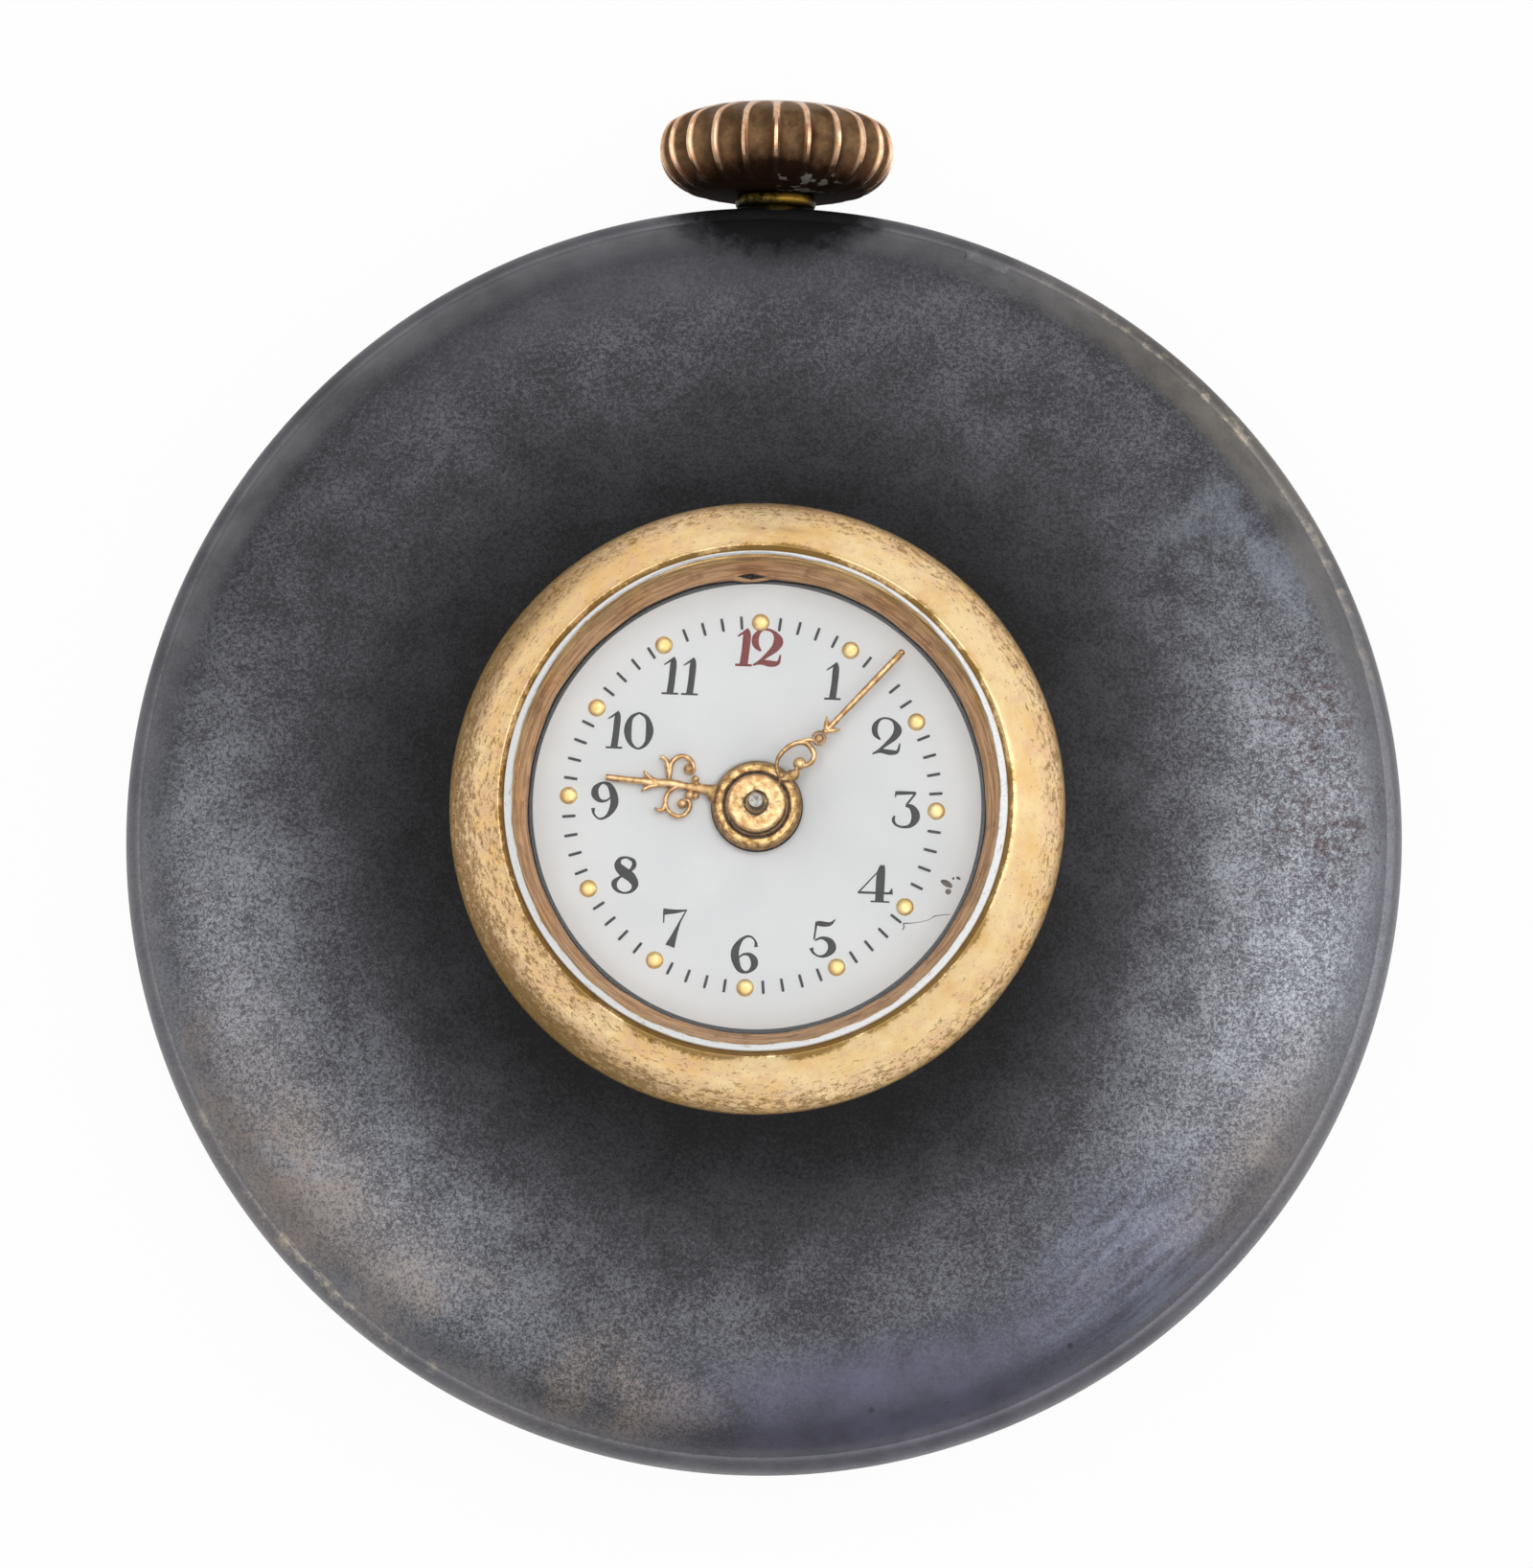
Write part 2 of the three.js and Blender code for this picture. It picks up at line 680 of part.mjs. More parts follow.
// Case body: back and side in one dish with a ledge for the movement ring
const tubeStart = cavityRadius - wall;
const tubeEnd = crownStart;
const tubeHole = alongStem(disc(tubeRadius, tubeStart, caseRadius + overrun));
const bodyOutline = [[0, 0]];
for (let step = 0; step <= bowlSteps; step += 1) {
  const turn = ((step / bowlSteps) * Math.PI) / 2;
  const spread = caseRadius - backFlatRadius;
  bodyOutline.push([backFlatRadius + spread * Math.sin(turn), widestHeight * (1 - Math.cos(turn))]);
}
bodyOutline.push([caseRadius - seamInset * rimShare, widestHeight + rimRise * (1 - rimShare)]);
bodyOutline.push([seamRadius, seamHeight], [cavityRadius, seamHeight], [cavityRadius, ledgeHeight]);
for (let step = innerBowlSteps; step >= 0; step -= 1) {
  const turn = ((step / innerBowlSteps) * Math.PI) / 2;
  const spread = cavityRadius - ledgeWidth - backFlatRadius;
  const rise = (ledgeHeight - wall) * (1 - Math.cos(turn));
  bodyOutline.push([backFlatRadius + spread * Math.sin(turn), wall + rise]);
}
bodyOutline.push([0, wall]);
addPiece('case_body', cut(turned(bodyOutline), tubeHole), gunmetal, 0.45, 0.8);

// Pendant tube that guides the stem through the side wall, with its collar under the crown
const tubeShape = alongStem(joined(
  sleeve(stemRadius + runningFit, tubeRadius, cavityRadius, tubeEnd),
  sleeve(stemRadius + runningFit, collarRadius, caseRadius, tubeEnd),
));
addPiece('pendant_tube', tubeShape, gilt, 0.4, 0.9);

// Front shell: seat, rounded shoulder, flare and neck
const shellOuter = [[seamRadius, seamHeight]];
for (const [inShare, upShare] of shoulderShares) {
  shellOuter.push([seamRadius - shoulderInset * inShare, seamHeight + shoulderRise * upShare]);
}
flareRadiusShares.forEach((share, index) => {
  const height = shoulderHeight + flareRise * flareHeightShares[index];
  shellOuter.push([shoulderRadius - (shoulderRadius - neckRadius) * share, height]);
});
const shellInner = [];
for (let index = shoulderShares.length + 1; index < shellOuter.length; index += 2) {
  const before = shellOuter[index - 1];
  const after = shellOuter[Math.min(index + 1, shellOuter.length - 1)];
  const length = Math.hypot(after[0] - before[0], after[1] - before[1]);
  const across = [-(after[1] - before[1]) / length, (after[0] - before[0]) / length];
  shellInner.push([shellOuter[index][0] + across[0] * neckWall,
    shellOuter[index][1] + across[1] * neckWall]);
}
const skirtRadius = cavityRadius - slidingFit;
const skirtInner = skirtRadius - skirtWidth;
const shellOutline = [
  [skirtRadius, seamHeight], ...shellOuter, ...shellInner.reverse(),
  [skirtInner, seamHeight + levelGap], [skirtInner, seamHeight - skirtDepth],
    [skirtRadius, seamHeight - skirtDepth],
];
const notch = spun(prism(
  [[-notchWidth * halfShare, seamRadius - notchDepth], [notchWidth * halfShare, seamRadius - notchDepth],
    [notchWidth * halfShare, caseRadius], [-notchWidth * halfShare, caseRadius]],
  [], seamHeight - overrun, seamHeight + notchDepth,
), -notchAngle);
addPiece('case_front', cut(turned(shellOutline), notch), gunmetal, 0.45, 0.8);

// Bezel ring pressed over the neck
const bezelSpan = bezelRadius - glassRadius;
const bezelOutline = [[neckRadius, neckTop], [neckRadius, bezelWidestHeight - bezelDrop]];
for (const [inShare, downShare] of [...bezelUnderShares].reverse()) {
  bezelOutline.push([bezelRadius - bezelOverhang * inShare, bezelWidestHeight - bezelDrop * downShare]);
}
bezelOutline.push([bezelRadius, bezelWidestHeight]);
for (const [inShare, upShare] of bezelOuterShares) {
  bezelOutline.push([bezelRadius - bezelSpan * inShare, bezelWidestHeight + bezelRise * upShare]);
}
bezelOutline.push([glassRadius, bezelTop - slidingFit], [glassRadius, neckTop]);
addPiece('bezel_ring', turned(bezelOutline), rosegold, 0.3, 1);

// Inner ring that slopes from the dial up to the crystal
const rehautOutline = [
  [rehautInnerRadius, dialTop + levelGap], [dialRadius + levelGap, dialTop + levelGap * halfShare],
  [dialRadius + levelGap, neckTop], [glassRadius, neckTop], [glassRadius, glassSeat],
  [rehautTopRadius, glassSeat],
];
addPiece('rehaut_ring', turned(rehautOutline), copper, 0.35, 1);

// Bevelled crystal, slightly domed, held by the bezel
const bevelTop = bezelTop - slidingFit + glassBevelRise;
const glassOutline = [[glassRadius, glassSeat], [glassRadius, bezelTop - slidingFit]];
for (const share of domeShares) {
  const rise = glassDome * (1 - (1 - share) ** 2);
  glassOutline.push([(glassRadius - glassBevelWidth) * (1 - share), bevelTop + rise]);
}
glassOutline.push([0, bevelTop + glassDome - glassThickness],
  [rehautTopRadius * wideShare, bevelTop - glassThickness], [rehautTopRadius, glassSeat]);
addPiece('crystal', turned(glassOutline), glassColour, 0.02, 0, 0.25);

// Enamel dial with twelve raised dots
const dialDisc = sleeve(dialHoleRadius, dialRadius, dialBottom, dialTop, roundSteps);
const dots = [];
for (let hour = 0; hour < dialHours; hour += 1) {
  const place = placeAt(centrePlace, dotCircle, quarterTurn - dialTurn - (hour * fullTurn) / dialHours);
  const dot = turned([
    [0, dialTop - dotHeight], [dotRadius, dialTop - dotHeight], [dotRadius, dialTop],
    [dotRadius * wideShare, dialTop + dotHeight * wideShare], [0, dialTop + dotHeight],
  ], dotSteps);
  dots.push(moved(dot, place));
}
addPiece('dial', joined(dialDisc, ...dots), enamel, 0.2, 0);

// Copper dial base with three long feet that stand in the main plate
const footLow = plateTop - dialFootDepth;
const dialFeet = [];
const footTop = dialBaseBottom + dialBaseThickness * halfShare;
const dialFootPlaces = [];
for (let foot = 0; foot < dialFeetCount; foot += 1) {
  const place = placeAt(centrePlace, dialFootCircle, dialFootAngle + (foot * fullTurn) / dialFeetCount);
  dialFootPlaces.push(place);
  dialFeet.push(moved(disc(dialFootRadius, footLow, footTop, tinySteps), place));
}
const baseDisc = sleeve(dialHoleRadius, dialBaseRadius, dialBaseBottom, dialBottom, ringSteps);
addPiece('dial_base', joined(baseDisc, ...dialFeet), copper, 0.5, 1);

// Hands: every place is a share of the hand's length, along it and to its right
function handPart(places, width, reach, low, high) {
  return strip(places.map(([along, right]) => [along * reach, -right * reach]), width, low, high);
}

function handBall([along, right], radius, reach, low, high) {
  return moved(disc(radius, low, high, tinySteps), [along * reach, -right * reach]);
}

function pointed(solid, clockwiseAngle) {
  return spun(solid, quarterTurn - clockwiseAngle);
}

const hourBoss = sleeve(hourPipeRadius, hourHubRadius, hourHandBottom, hourHubTop, smallSteps);
const hourScrolls = hourScrollShares.map((curve) => (
  handPart(curve, scrollWidth, hourHandReach, hourHandBottom, hourHandTop)));
const hourStem = handPart([[hourHubRadius * wideShare / hourHandReach, 0],
  ...hourStemShares.map((share) => [share, 0])],
  handStemWidth, hourHandReach, hourHandBottom, hourHandTop);
const hourBalls = hourBallShares.map((place) => (
  handBall(place, ballRadius, hourHandReach, hourHandBottom, hourHandTop)));
const hourSolid = joined(hourBoss, hourStem, ...hourScrolls, ...hourBalls);
addPiece('hour_hand', pointed(hourSolid, hourHandAngle), gilt, 0.3, 1);

const minuteBoss = sleeve(cannonRadius, minuteBossRadius, minuteHandBottom, minuteBossTop, smallSteps);
const minuteScrolls = minuteScrollShares.map((curve) => (
  handPart(curve, scrollWidth, minuteHandReach, minuteHandBottom, minuteHandTop)));
const minuteStem = handPart(minuteStemShares.map((share) => [share, 0]),
  handStemWidth, minuteHandReach, minuteHandBottom, minuteHandTop);
const minuteNeck = handPart([[minuteBossRadius * wideShare / minuteHandReach, 0], minuteNeckShares],
  handStemWidth, minuteHandReach, minuteHandBottom, minuteHandTop);
const minuteBall = handBall(minuteBallShares, ballRadius, minuteHandReach, minuteHandBottom, minuteHandTop);
const minuteRing = moved(sleeve(ringRadius - scrollWidth, ringRadius, minuteHandBottom, minuteHandTop,
  tinySteps),
  [minuteHandReach * minuteRingShare, 0]);
const minuteSolid = joined(minuteBoss, minuteNeck, minuteStem, minuteBall, minuteRing, ...minuteScrolls);
addPiece('minute_hand', pointed(minuteSolid, minuteHandAngle), gilt, 0.3, 1);

// Motion work
const cannonPhase = quarterTurn;
const cannonLeaves = prism(toothOutline(cannonTeeth, motionModule, cannonPhase), [], motionLow, motionHigh);
const cannonBore = disc(centreArborRadius + runningFit, motionLow - overrun, minuteBossTop + overrun);
const cannonPipe = disc(cannonRadius, motionLow, minuteBossTop - levelGap);
addPiece('cannon_pinion', cut(joined(cannonLeaves, cannonPipe), cannonBore), steel, 0.3, 1);

const minutePhase = meshPhase(cannonPhase, cannonTeeth, quarterTurn, minuteTeeth);
const minuteWheel = prism(toothOutline(minuteTeeth, motionModule, minutePhase), [], motionLow, motionHigh);
const minutePinion = prism(toothOutline(minutePinionTeeth, motionModule, quarterTurn), [],
  motionHigh - levelGap, hourWheelHigh);
const postHole = disc(motionPostRadius + runningFit, motionLow - overrun, hourWheelHigh + overrun,
  tinySteps);
addPiece('minute_wheel', moved(cut(joined(minuteWheel, minutePinion), postHole), minutePlace), brass, 0.4,
  1);

const hourPhase = meshPhase(quarterTurn, minutePinionTeeth, -quarterTurn, hourTeeth);
const hourTeethPart = prism(toothOutline(hourTeeth, motionModule, hourPhase), [], hourWheelLow,
  hourWheelHigh);
const hourPipe = disc(hourPipeRadius, hourWheelLow, hourHubTop - levelGap);
const hourBore = disc(cannonRadius + runningFit, hourWheelLow - overrun, hourHubTop + overrun);
addPiece('hour_wheel', cut(joined(hourTeethPart, hourPipe), hourBore), brass, 0.4, 1);

const settingPhase = meshPhase(minutePhase, minuteTeeth, quarterTurn, settingTeeth);
const settingHole = [arc(motionPostRadius + runningFit, 0, fullTurn - fullTurn / tinySteps, tinySteps - 1)];
const settingWheel = prism(toothOutline(settingTeeth, motionModule, settingPhase), settingHole, motionLow,
  motionHigh);
addPiece('setting_wheel', moved(settingWheel, settingPlace), steel, 0.35, 1);

// Crown: narrow ridges between broad hollow flutes, rounded towards both ends
function crownShape() {
  const points = [];
  const faces = [];
  const stepsRound = crownRidges * crownPointShares.length;
  crownLengthShares.forEach((share, level) => {
    for (let step = 0; step < stepsRound; step += 1) {
      const [within, depth] = crownPointShares[step % crownPointShares.length];
      const ridge = Math.floor(step / crownPointShares.length);
      const turn = ((ridge + within) / crownRidges) * Math.PI * 2;
      const radius = crownRadius * crownRadiusShares[level] - crownFluteDepth * depth * fluteShares[level];
      points.push([radius * Math.cos(turn), radius * Math.sin(turn), crownStart + crownLength * share]);
    }
  });
  const levels = crownLengthShares.length;
  points.push([0, 0, crownStart], [0, 0, crownEnd]);
  for (let step = 0; step < stepsRound; step += 1) {
    const next = (step + 1) % stepsRound;
    for (let level = 0; level < levels - 1; level += 1) {
      const low = level * stepsRound;
      const high = low + stepsRound;
      faces.push([low + step, low + next, high + next], [low + step, high + next, high + step]);
    }
    const top = (levels - 1) * stepsRound;
    faces.push([step, points.length - 2, next], [top + step, top + next, points.length - 1]);
  }
  return solidFrom(points, faces);
}
const crownBore = disc(stemRadius, crownStart - overrun, crownStart + crownBoreDepth);
addPiece('crown', alongStem(cut(crownShape(), crownBore)), rosegold, 0.35, 1);

// Winding stem with its pilot, groove and the end that screws into the crown
const stemOutline = [
  [0, slidingStart - crownTravel - stemTail], [stemTailRadius, slidingStart - crownTravel - stemTail],
  [stemTailRadius, slidingStart], [stemRadius, slidingStart], [stemRadius, stemGrooveStart],
  [stemGrooveRadius, stemGrooveStart], [stemGrooveRadius, stemGrooveEnd], [stemRadius, stemGrooveEnd],
  [stemRadius, crownStart + crownBoreDepth], [0, crownStart + crownBoreDepth],
];
addPiece('winding_stem', alongStem(turned(stemOutline, smallSteps)), steel, 0.3, 1);

// Winding pinion and sliding pinion on the stem
const windingPhase = quarterTurn;
function stemPinion(radius, phase, low, high, teeth) {
  const module = (radius * doubleShare) / (teeth + addendumShare * doubleShare);
  const leaves = prism(toothOutline(teeth, module, phase), [], low, high);
  return cut(leaves, disc(stemRadius + runningFit, low - overrun, high + overrun));
}
const windingPinion = stemPinion(windingPinionRadius, windingPhase, windingStart, windingEnd,
  windingPinionTeeth);
addPiece('winding_pinion', alongStem(windingPinion), steel, 0.3, 1);
const slidingBody = stemPinion(slidingPinionRadius, windingPhase, slidingStart, slidingEnd,
  windingPinionTeeth);
const grooveStart = slidingEnd - slidingGrooveWidth * doubleShare;
const groove = sleeve(slidingGrooveRadius, slidingPinionRadius + overrun, grooveStart,
  grooveStart + slidingGrooveWidth);
addPiece('sliding_pinion', alongStem(cut(slidingBody, groove)), steel, 0.3, 1);

// Movement ring that centres the movement on the ledge of the case
const stemSlot = alongStem(disc(stemRadius + levelGap, cavityRadius * wideShare, caseRadius));
const plateSlot = alongStem(disc(stemRadius + levelGap, settingPlace[1], caseRadius));
const ringShape = sleeve(plateRadius + ringGap, cavityRadius - slidingFit, ringBottom, ringTop, roundSteps);
addPiece('movement_ring', cut(ringShape, stemSlot), brass, 0.5, 1);

// Main plate with its flange, recesses and holes
const plateOutline = [
  [0, plateBottom], [flangeRadius - flangeWidth, plateBottom], [flangeRadius - flangeWidth, ringTop],
  [flangeRadius, ringTop], [flangeRadius, plateBottom + levelGap], [plateRadius, plateBottom + levelGap],
  [plateRadius, plateRimTop], [plateRaisedRadius, plateRimTop], [plateRaisedRadius, plateTop],
    [0, plateTop],
];
const barrelTip = barrelTeeth * barrelModule * halfShare + barrelModule * addendumShare;
const barrelPocket = moved(disc(barrelTip + recessGap, plateBottom - overrun, plateBottom + barrelRecess,
  poolSteps), barrelPlace);
const minutePocketRadius = minuteTeeth * motionModule * halfShare + motionModule + recessGap;
const settingPocketRadius = settingTeeth * motionModule * halfShare + motionModule + recessGap;
const pockets = [
  disc(hourPipeRadius + recessGap * doubleShare, recessFloor, plateTop + overrun),
  moved(disc(minutePocketRadius, recessFloor, plateTop + overrun), minutePlace),
  moved(disc(settingPocketRadius, recessFloor, plateTop + overrun), settingPlace),
];
const windingRoom = alongStem(disc(windingPinionRadius + recessGap, windingStart - levelGap,
  windingEnd + levelGap));
const slidingRoom = alongStem(disc(slidingPinionRadius + recessGap,
  slidingStart - crownTravel - levelGap * halfShare, windingStart));
const grooveRoom = alongStem(disc(stemRadius + recessGap * doubleShare, windingEnd, plateRadius + overrun));
const leverWindow = prism(
  [[-leverWidth, windingEnd], [leverWidth, windingEnd], [leverWidth, flangeRadius + overrun],
    [-leverWidth, flangeRadius + overrun]],
  [], plateBottom - overrun, plateTop + overrun,
);
function pivotHole(place, radius, low, high) {
  return moved(disc(radius, low, high, shaftSteps), place);
}
const plateHoles = [thirdPlace, fourthPlace, escapePlace, balancePlace].map((place) => (
  pivotHole(place, pivotRadius + runningFit, plateBottom - overrun,
    plateBottom + pivotDepth + runningFit)));
const arborHole = pivotHole(barrelPlace, pinHoleRadius, plateBottom - overrun,
  plateBottom + barrelRecess + pivotDepth);
const centreHole = disc(centreArborRadius + runningFit, plateBottom - overrun, plateTop + overrun);
const footHoles = dialFootPlaces.map((place) => (
  moved(disc(dialFootRadius, footLow, plateTop + overrun, tinySteps), place)));
const screwHoles = bridgeScrewPlaces.map((place) => (
  pivotHole(place, screwShaftRadius, plateBottom - overrun, plateBottom + pivotDepth)));
const caseScrewCircle = flangeRadius - screwHeadRadius;
const caseScrewHoles = caseScrewAngles.map((angle) => (
  pivotHole(placeAt(centrePlace, caseScrewCircle, angle), screwShaftRadius, ringTop - overrun,
    plateBottom + overrun)));
const posts = [minutePlace, settingPlace].map((place) => (
  moved(disc(motionPostRadius, recessFloor - levelGap, motionHigh + levelGap, tinySteps), place)));
const plateBlank = cut(turned(plateOutline), barrelPocket, ...pockets, windingRoom, slidingRoom, plateSlot,
  grooveRoom, leverWindow, centreHole, arborHole, ...plateHoles, ...footHoles, ...screwHoles,
    ...caseScrewHoles);
addPiece('main_plate', joined(plateBlank, ...posts), brass, 0.45, 1);

// Case screws that clamp the plate's flange to the ring
caseScrewAngles.forEach((angle, index) => {
  const place = placeAt(centrePlace, caseScrewCircle, angle);
  const screw = screwShape(caseScrewHeadRadius, plateBottom + levelGap,
    plateBottom + levelGap + screwHeadHeight, ringTop);
  addPiece(`case_screw_${index + 1}`, moved(screw, place), blueSteel, 0.3, 1);
});

// A slotted screw whose head lies above its seat
function screwShape(headRadius, seat, headEnd, shaftEnd) {
  const shaftLow = Math.min(shaftEnd, seat);
  const shaftHigh = Math.max(shaftEnd, seat);
  const head = disc(headRadius, Math.min(seat, headEnd), Math.max(seat, headEnd), screwSteps);
  const shaft = disc(screwShaftRadius, shaftLow, shaftHigh, shaftSteps);
  const depth = headEnd > seat ? headEnd - screwSlotDepth : headEnd + screwSlotDepth;
  const half = screwSlotWidth * halfShare;
  const slot = prism(
    [[-headRadius - overrun, -half], [headRadius + overrun, -half], [headRadius + overrun, half],
      [-headRadius - overrun, half]],
    [], Math.min(depth, headEnd + (headEnd > seat ? overrun : -overrun)),
      Math.max(depth, headEnd + (headEnd > seat ? overrun : -overrun)),
  );
  return cut(joined(head, shaft), slot);
}

// Barrel bridge over the barrel, the centre wheel and the crown wheel
const bridgeOutline = [
  ...arc(bridgeRadius, bridgeFrom, bridgeTo, bridgeSteps),
  ...bridgeEdgeShares.map(([x, y]) => [x * bridgeRadius, y * bridgeRadius]),
];
const bridgePlate = prism(bridgeOutline, [], bridgeBack, bridgeFront);
const bridgeFeet = bridgeFootAngles.map(([from, to]) => (
  sector(bridgeRadius - footWidth, bridgeRadius, from, to, bridgeBack, plateBottom)));
const bridgeHoles = [
  moved(disc(barrelArborRadius + runningFit, bridgeBack - overrun, bridgeFront + overrun), barrelPlace),
  moved(disc(screwShaftRadius, bridgeBack - overrun, bridgeFront + overrun, shaftSteps), crownWheelPlace),
  pivotHole(centrePlace, pivotRadius + runningFit, bridgeBack - overrun, bridgeFront + overrun),
  moved(disc(screwShaftRadius, bridgeBack - overrun, bridgeFront + overrun, shaftSteps), clickPlace),
];
const barrelBridgeScrews = bridgeScrewPlaces.slice(0, cocksFrom);
const bridgeScrewHoles = barrelBridgeScrews.map((place) => (
  pivotHole(place, screwShaftRadius, bridgeBack - overrun, plateBottom + overrun)));
const barrelBridge = cut(joined(bridgePlate, ...bridgeFeet), windingRoom, slidingRoom, grooveRoom,
  ...bridgeHoles, ...bridgeScrewHoles);
addPiece('barrel_bridge', barrelBridge, brass, 0.4, 1);

// Cocks: a foot at the edge of the plate and an arm to the pivot
function cock({ place, angle, spread, inner, outer, back, front, width, hole, screwPlace }) {
  const foot = sector(inner, outer, angle - spread, angle + spread, back, plateBottom);
  const root = placeAt(centrePlace, (inner + outer) * halfShare, angle);
  const arm = strip([root, place], width, back, front);
  const end = moved(disc(width * halfShare, back, front), place);
  const bore = moved(disc(hole, back - overrun, front + overrun, tinySteps), place);
  const screwBore = pivotHole(screwPlace, screwShaftRadius, back - overrun, plateBottom + overrun);
  return cut(joined(foot, arm, end), bore, screwBore);
}
const cockInner = bridgeRadius - cockFootWidth;
const cockSizes = [
  ['third_cock', thirdPlace, thirdFootAngle, bridgeBack, bridgeFront, cockWidth, pivotRadius + runningFit],
  ['fourth_cock', fourthPlace, fourthFootAngle, bridgeBack, bridgeFront, cockWidth,
    pivotRadius + runningFit],
  ['escape_cock', escapePlace, escapeFootAngle, escapeCockBack, escapeCockFront, cockWidth * wideShare,
    pivotRadius + runningFit],
  ['balance_cock', balancePlace, balanceFootAngle, balanceCockBack, balanceCockFront,
    cockWidth * balanceCockShare, pivotRadius + runningFit],
];
cockSizes.forEach(([name, place, angle, back, front, width, hole], index) => {
  const screwPlace = bridgeScrewPlaces[index + cocksFrom];
  const outer = bridgeRadius * cockReachShare;
  addPiece(name, cock({ place, angle, spread: footSpread, inner: cockInner, outer, back, front, width,
    hole, screwPlace }), brass, 0.4, 1);
});
const screwBacks = [bridgeBack, bridgeBack, bridgeBack, bridgeBack, escapeCockBack, balanceCockBack];
bridgeScrewPlaces.forEach((place, index) => {
  const back = screwBacks[index];
  const screw = screwShape(screwHeadRadius, back, back - screwHeadHeight, plateBottom + pivotDepth);
  addPiece(`bridge_screw_${index + 1}`, moved(screw, place), blueSteel, 0.3, 1);
});

// Barrel: drum with teeth, cover, arbor and mainspring
const drumRadius = barrelTeeth * barrelModule * halfShare - barrelModule * dedendumShare;
const drumInner = drumRadius - barrelWall;
const barrelBore = barrelArborRadius + runningFit;
const barrelPhase = directionTo(barrelPlace, centrePlace);
const coverHigh = barrelLow + barrelFloor;
const drum = turned([
  [barrelBore, barrelHigh - barrelFloor], [drumInner, barrelHigh - barrelFloor], [drumInner, barrelLow],
  [drumRadius, barrelLow], [drumRadius, barrelHigh], [barrelBore, barrelHigh],
], ringSteps);
const barrelRing = prism(toothOutline(barrelTeeth, barrelModule, barrelPhase),
  [arc(drumInner + barrelWall * halfShare, 0, fullTurn - fullTurn / ringSteps, ringSteps - 1)],
    barrelToothLow, barrelToothHigh);
addPiece('barrel_drum', moved(joined(drum, barrelRing), barrelPlace), gilt, 0.35, 1);
addPiece('barrel_cover', moved(sleeve(barrelBore, drumInner, barrelLow, coverHigh, ringSteps),
  barrelPlace), gilt, 0.35, 1);
const coreLow = coverHigh + levelGap;
const coreHigh = barrelHigh - barrelFloor - levelGap;
const arborEnd = plateBottom + barrelRecess + pivotDepth - runningFit;
const arborBlank = turned([
  [0, ratchetBack], [barrelArborRadius, ratchetBack], [barrelArborRadius, coreLow],
    [barrelCoreRadius, coreLow],
  [barrelCoreRadius, coreHigh], [barrelArborRadius, coreHigh],
    [barrelArborRadius, barrelHigh + recessGap * halfShare],
  [pinHoleRadius - runningFit, barrelHigh + recessGap * halfShare], [pinHoleRadius - runningFit, arborEnd],
    [0, arborEnd],
], smallSteps);
const arborTap = disc(screwShaftRadius, ratchetBack - overrun, bridgeFront, shaftSteps);
addPiece('barrel_arbor', moved(cut(arborBlank, arborTap), barrelPlace), steel, 0.3, 1);

// A flat spiral of even width and pitch
function spiral(inner, outer, thickness, loops, low, high, from) {
  const steps = loops * loopSteps;
  const places = [];
  for (let step = 0; step <= steps; step += 1) {
    places.push(placeAt(centrePlace, inner + ((outer - inner) * step) / steps,
      from + (step * fullTurn) / loopSteps));
  }
  return strip(places, thickness, low, high);
}
const mainspring = spiral(barrelCoreRadius + springThickness * halfShare,
  drumInner - springThickness * halfShare - runningFit,
  springThickness, mainspringLoops, coreLow + levelGap, coreHigh - levelGap, 0);
addPiece('mainspring', moved(mainspring, barrelPlace), blueSteel, 0.35, 1);

// Ratchet wheel and crown wheel on the back of the bridge, with their screws
const crownWheelPhase = quarterTurn + halfTurn / crownWheelTeeth;
const ratchetDirection = directionTo(crownWheelPlace, barrelPlace);
const ratchetPhase = meshPhase(crownWheelPhase, crownWheelTeeth, ratchetDirection, ratchetTeeth);
const ratchetBore = [arc(barrelArborRadius, 0, fullTurn - fullTurn / smallSteps, smallSteps - 1)];
const ratchet = prism(toothOutline(ratchetTeeth, windingModule, ratchetPhase), ratchetBore, ratchetBack,
  ratchetFront);
addPiece('ratchet_wheel', moved(ratchet, barrelPlace), steel, 0.3, 1);
const bigHead = screwHeadRadius * doubleShare;
addPiece('ratchet_screw', moved(screwShape(bigHead, ratchetBack, ratchetScrewBack, bridgeFront),
  barrelPlace), blueSteel, 0.3, 1);
const crownWheelBore = [arc(postRadius + runningFit, 0, fullTurn - fullTurn / smallSteps, smallSteps - 1)];
const crownWheel = prism(toothOutline(crownWheelTeeth, windingModule, crownWheelPhase),
  crownWheelBore, ratchetBack, ratchetFront);
addPiece('crown_wheel', moved(crownWheel, crownWheelPlace), steel, 0.3, 1);
const crownWheelScrew = joined(screwShape(bigHead, ratchetBack, ratchetScrewBack, bridgeFront),
  disc(postRadius, ratchetBack - levelGap * halfShare, bridgeBack));
addPiece('crown_wheel_screw', moved(crownWheelScrew, crownWheelPlace), blueSteel, 0.3, 1);

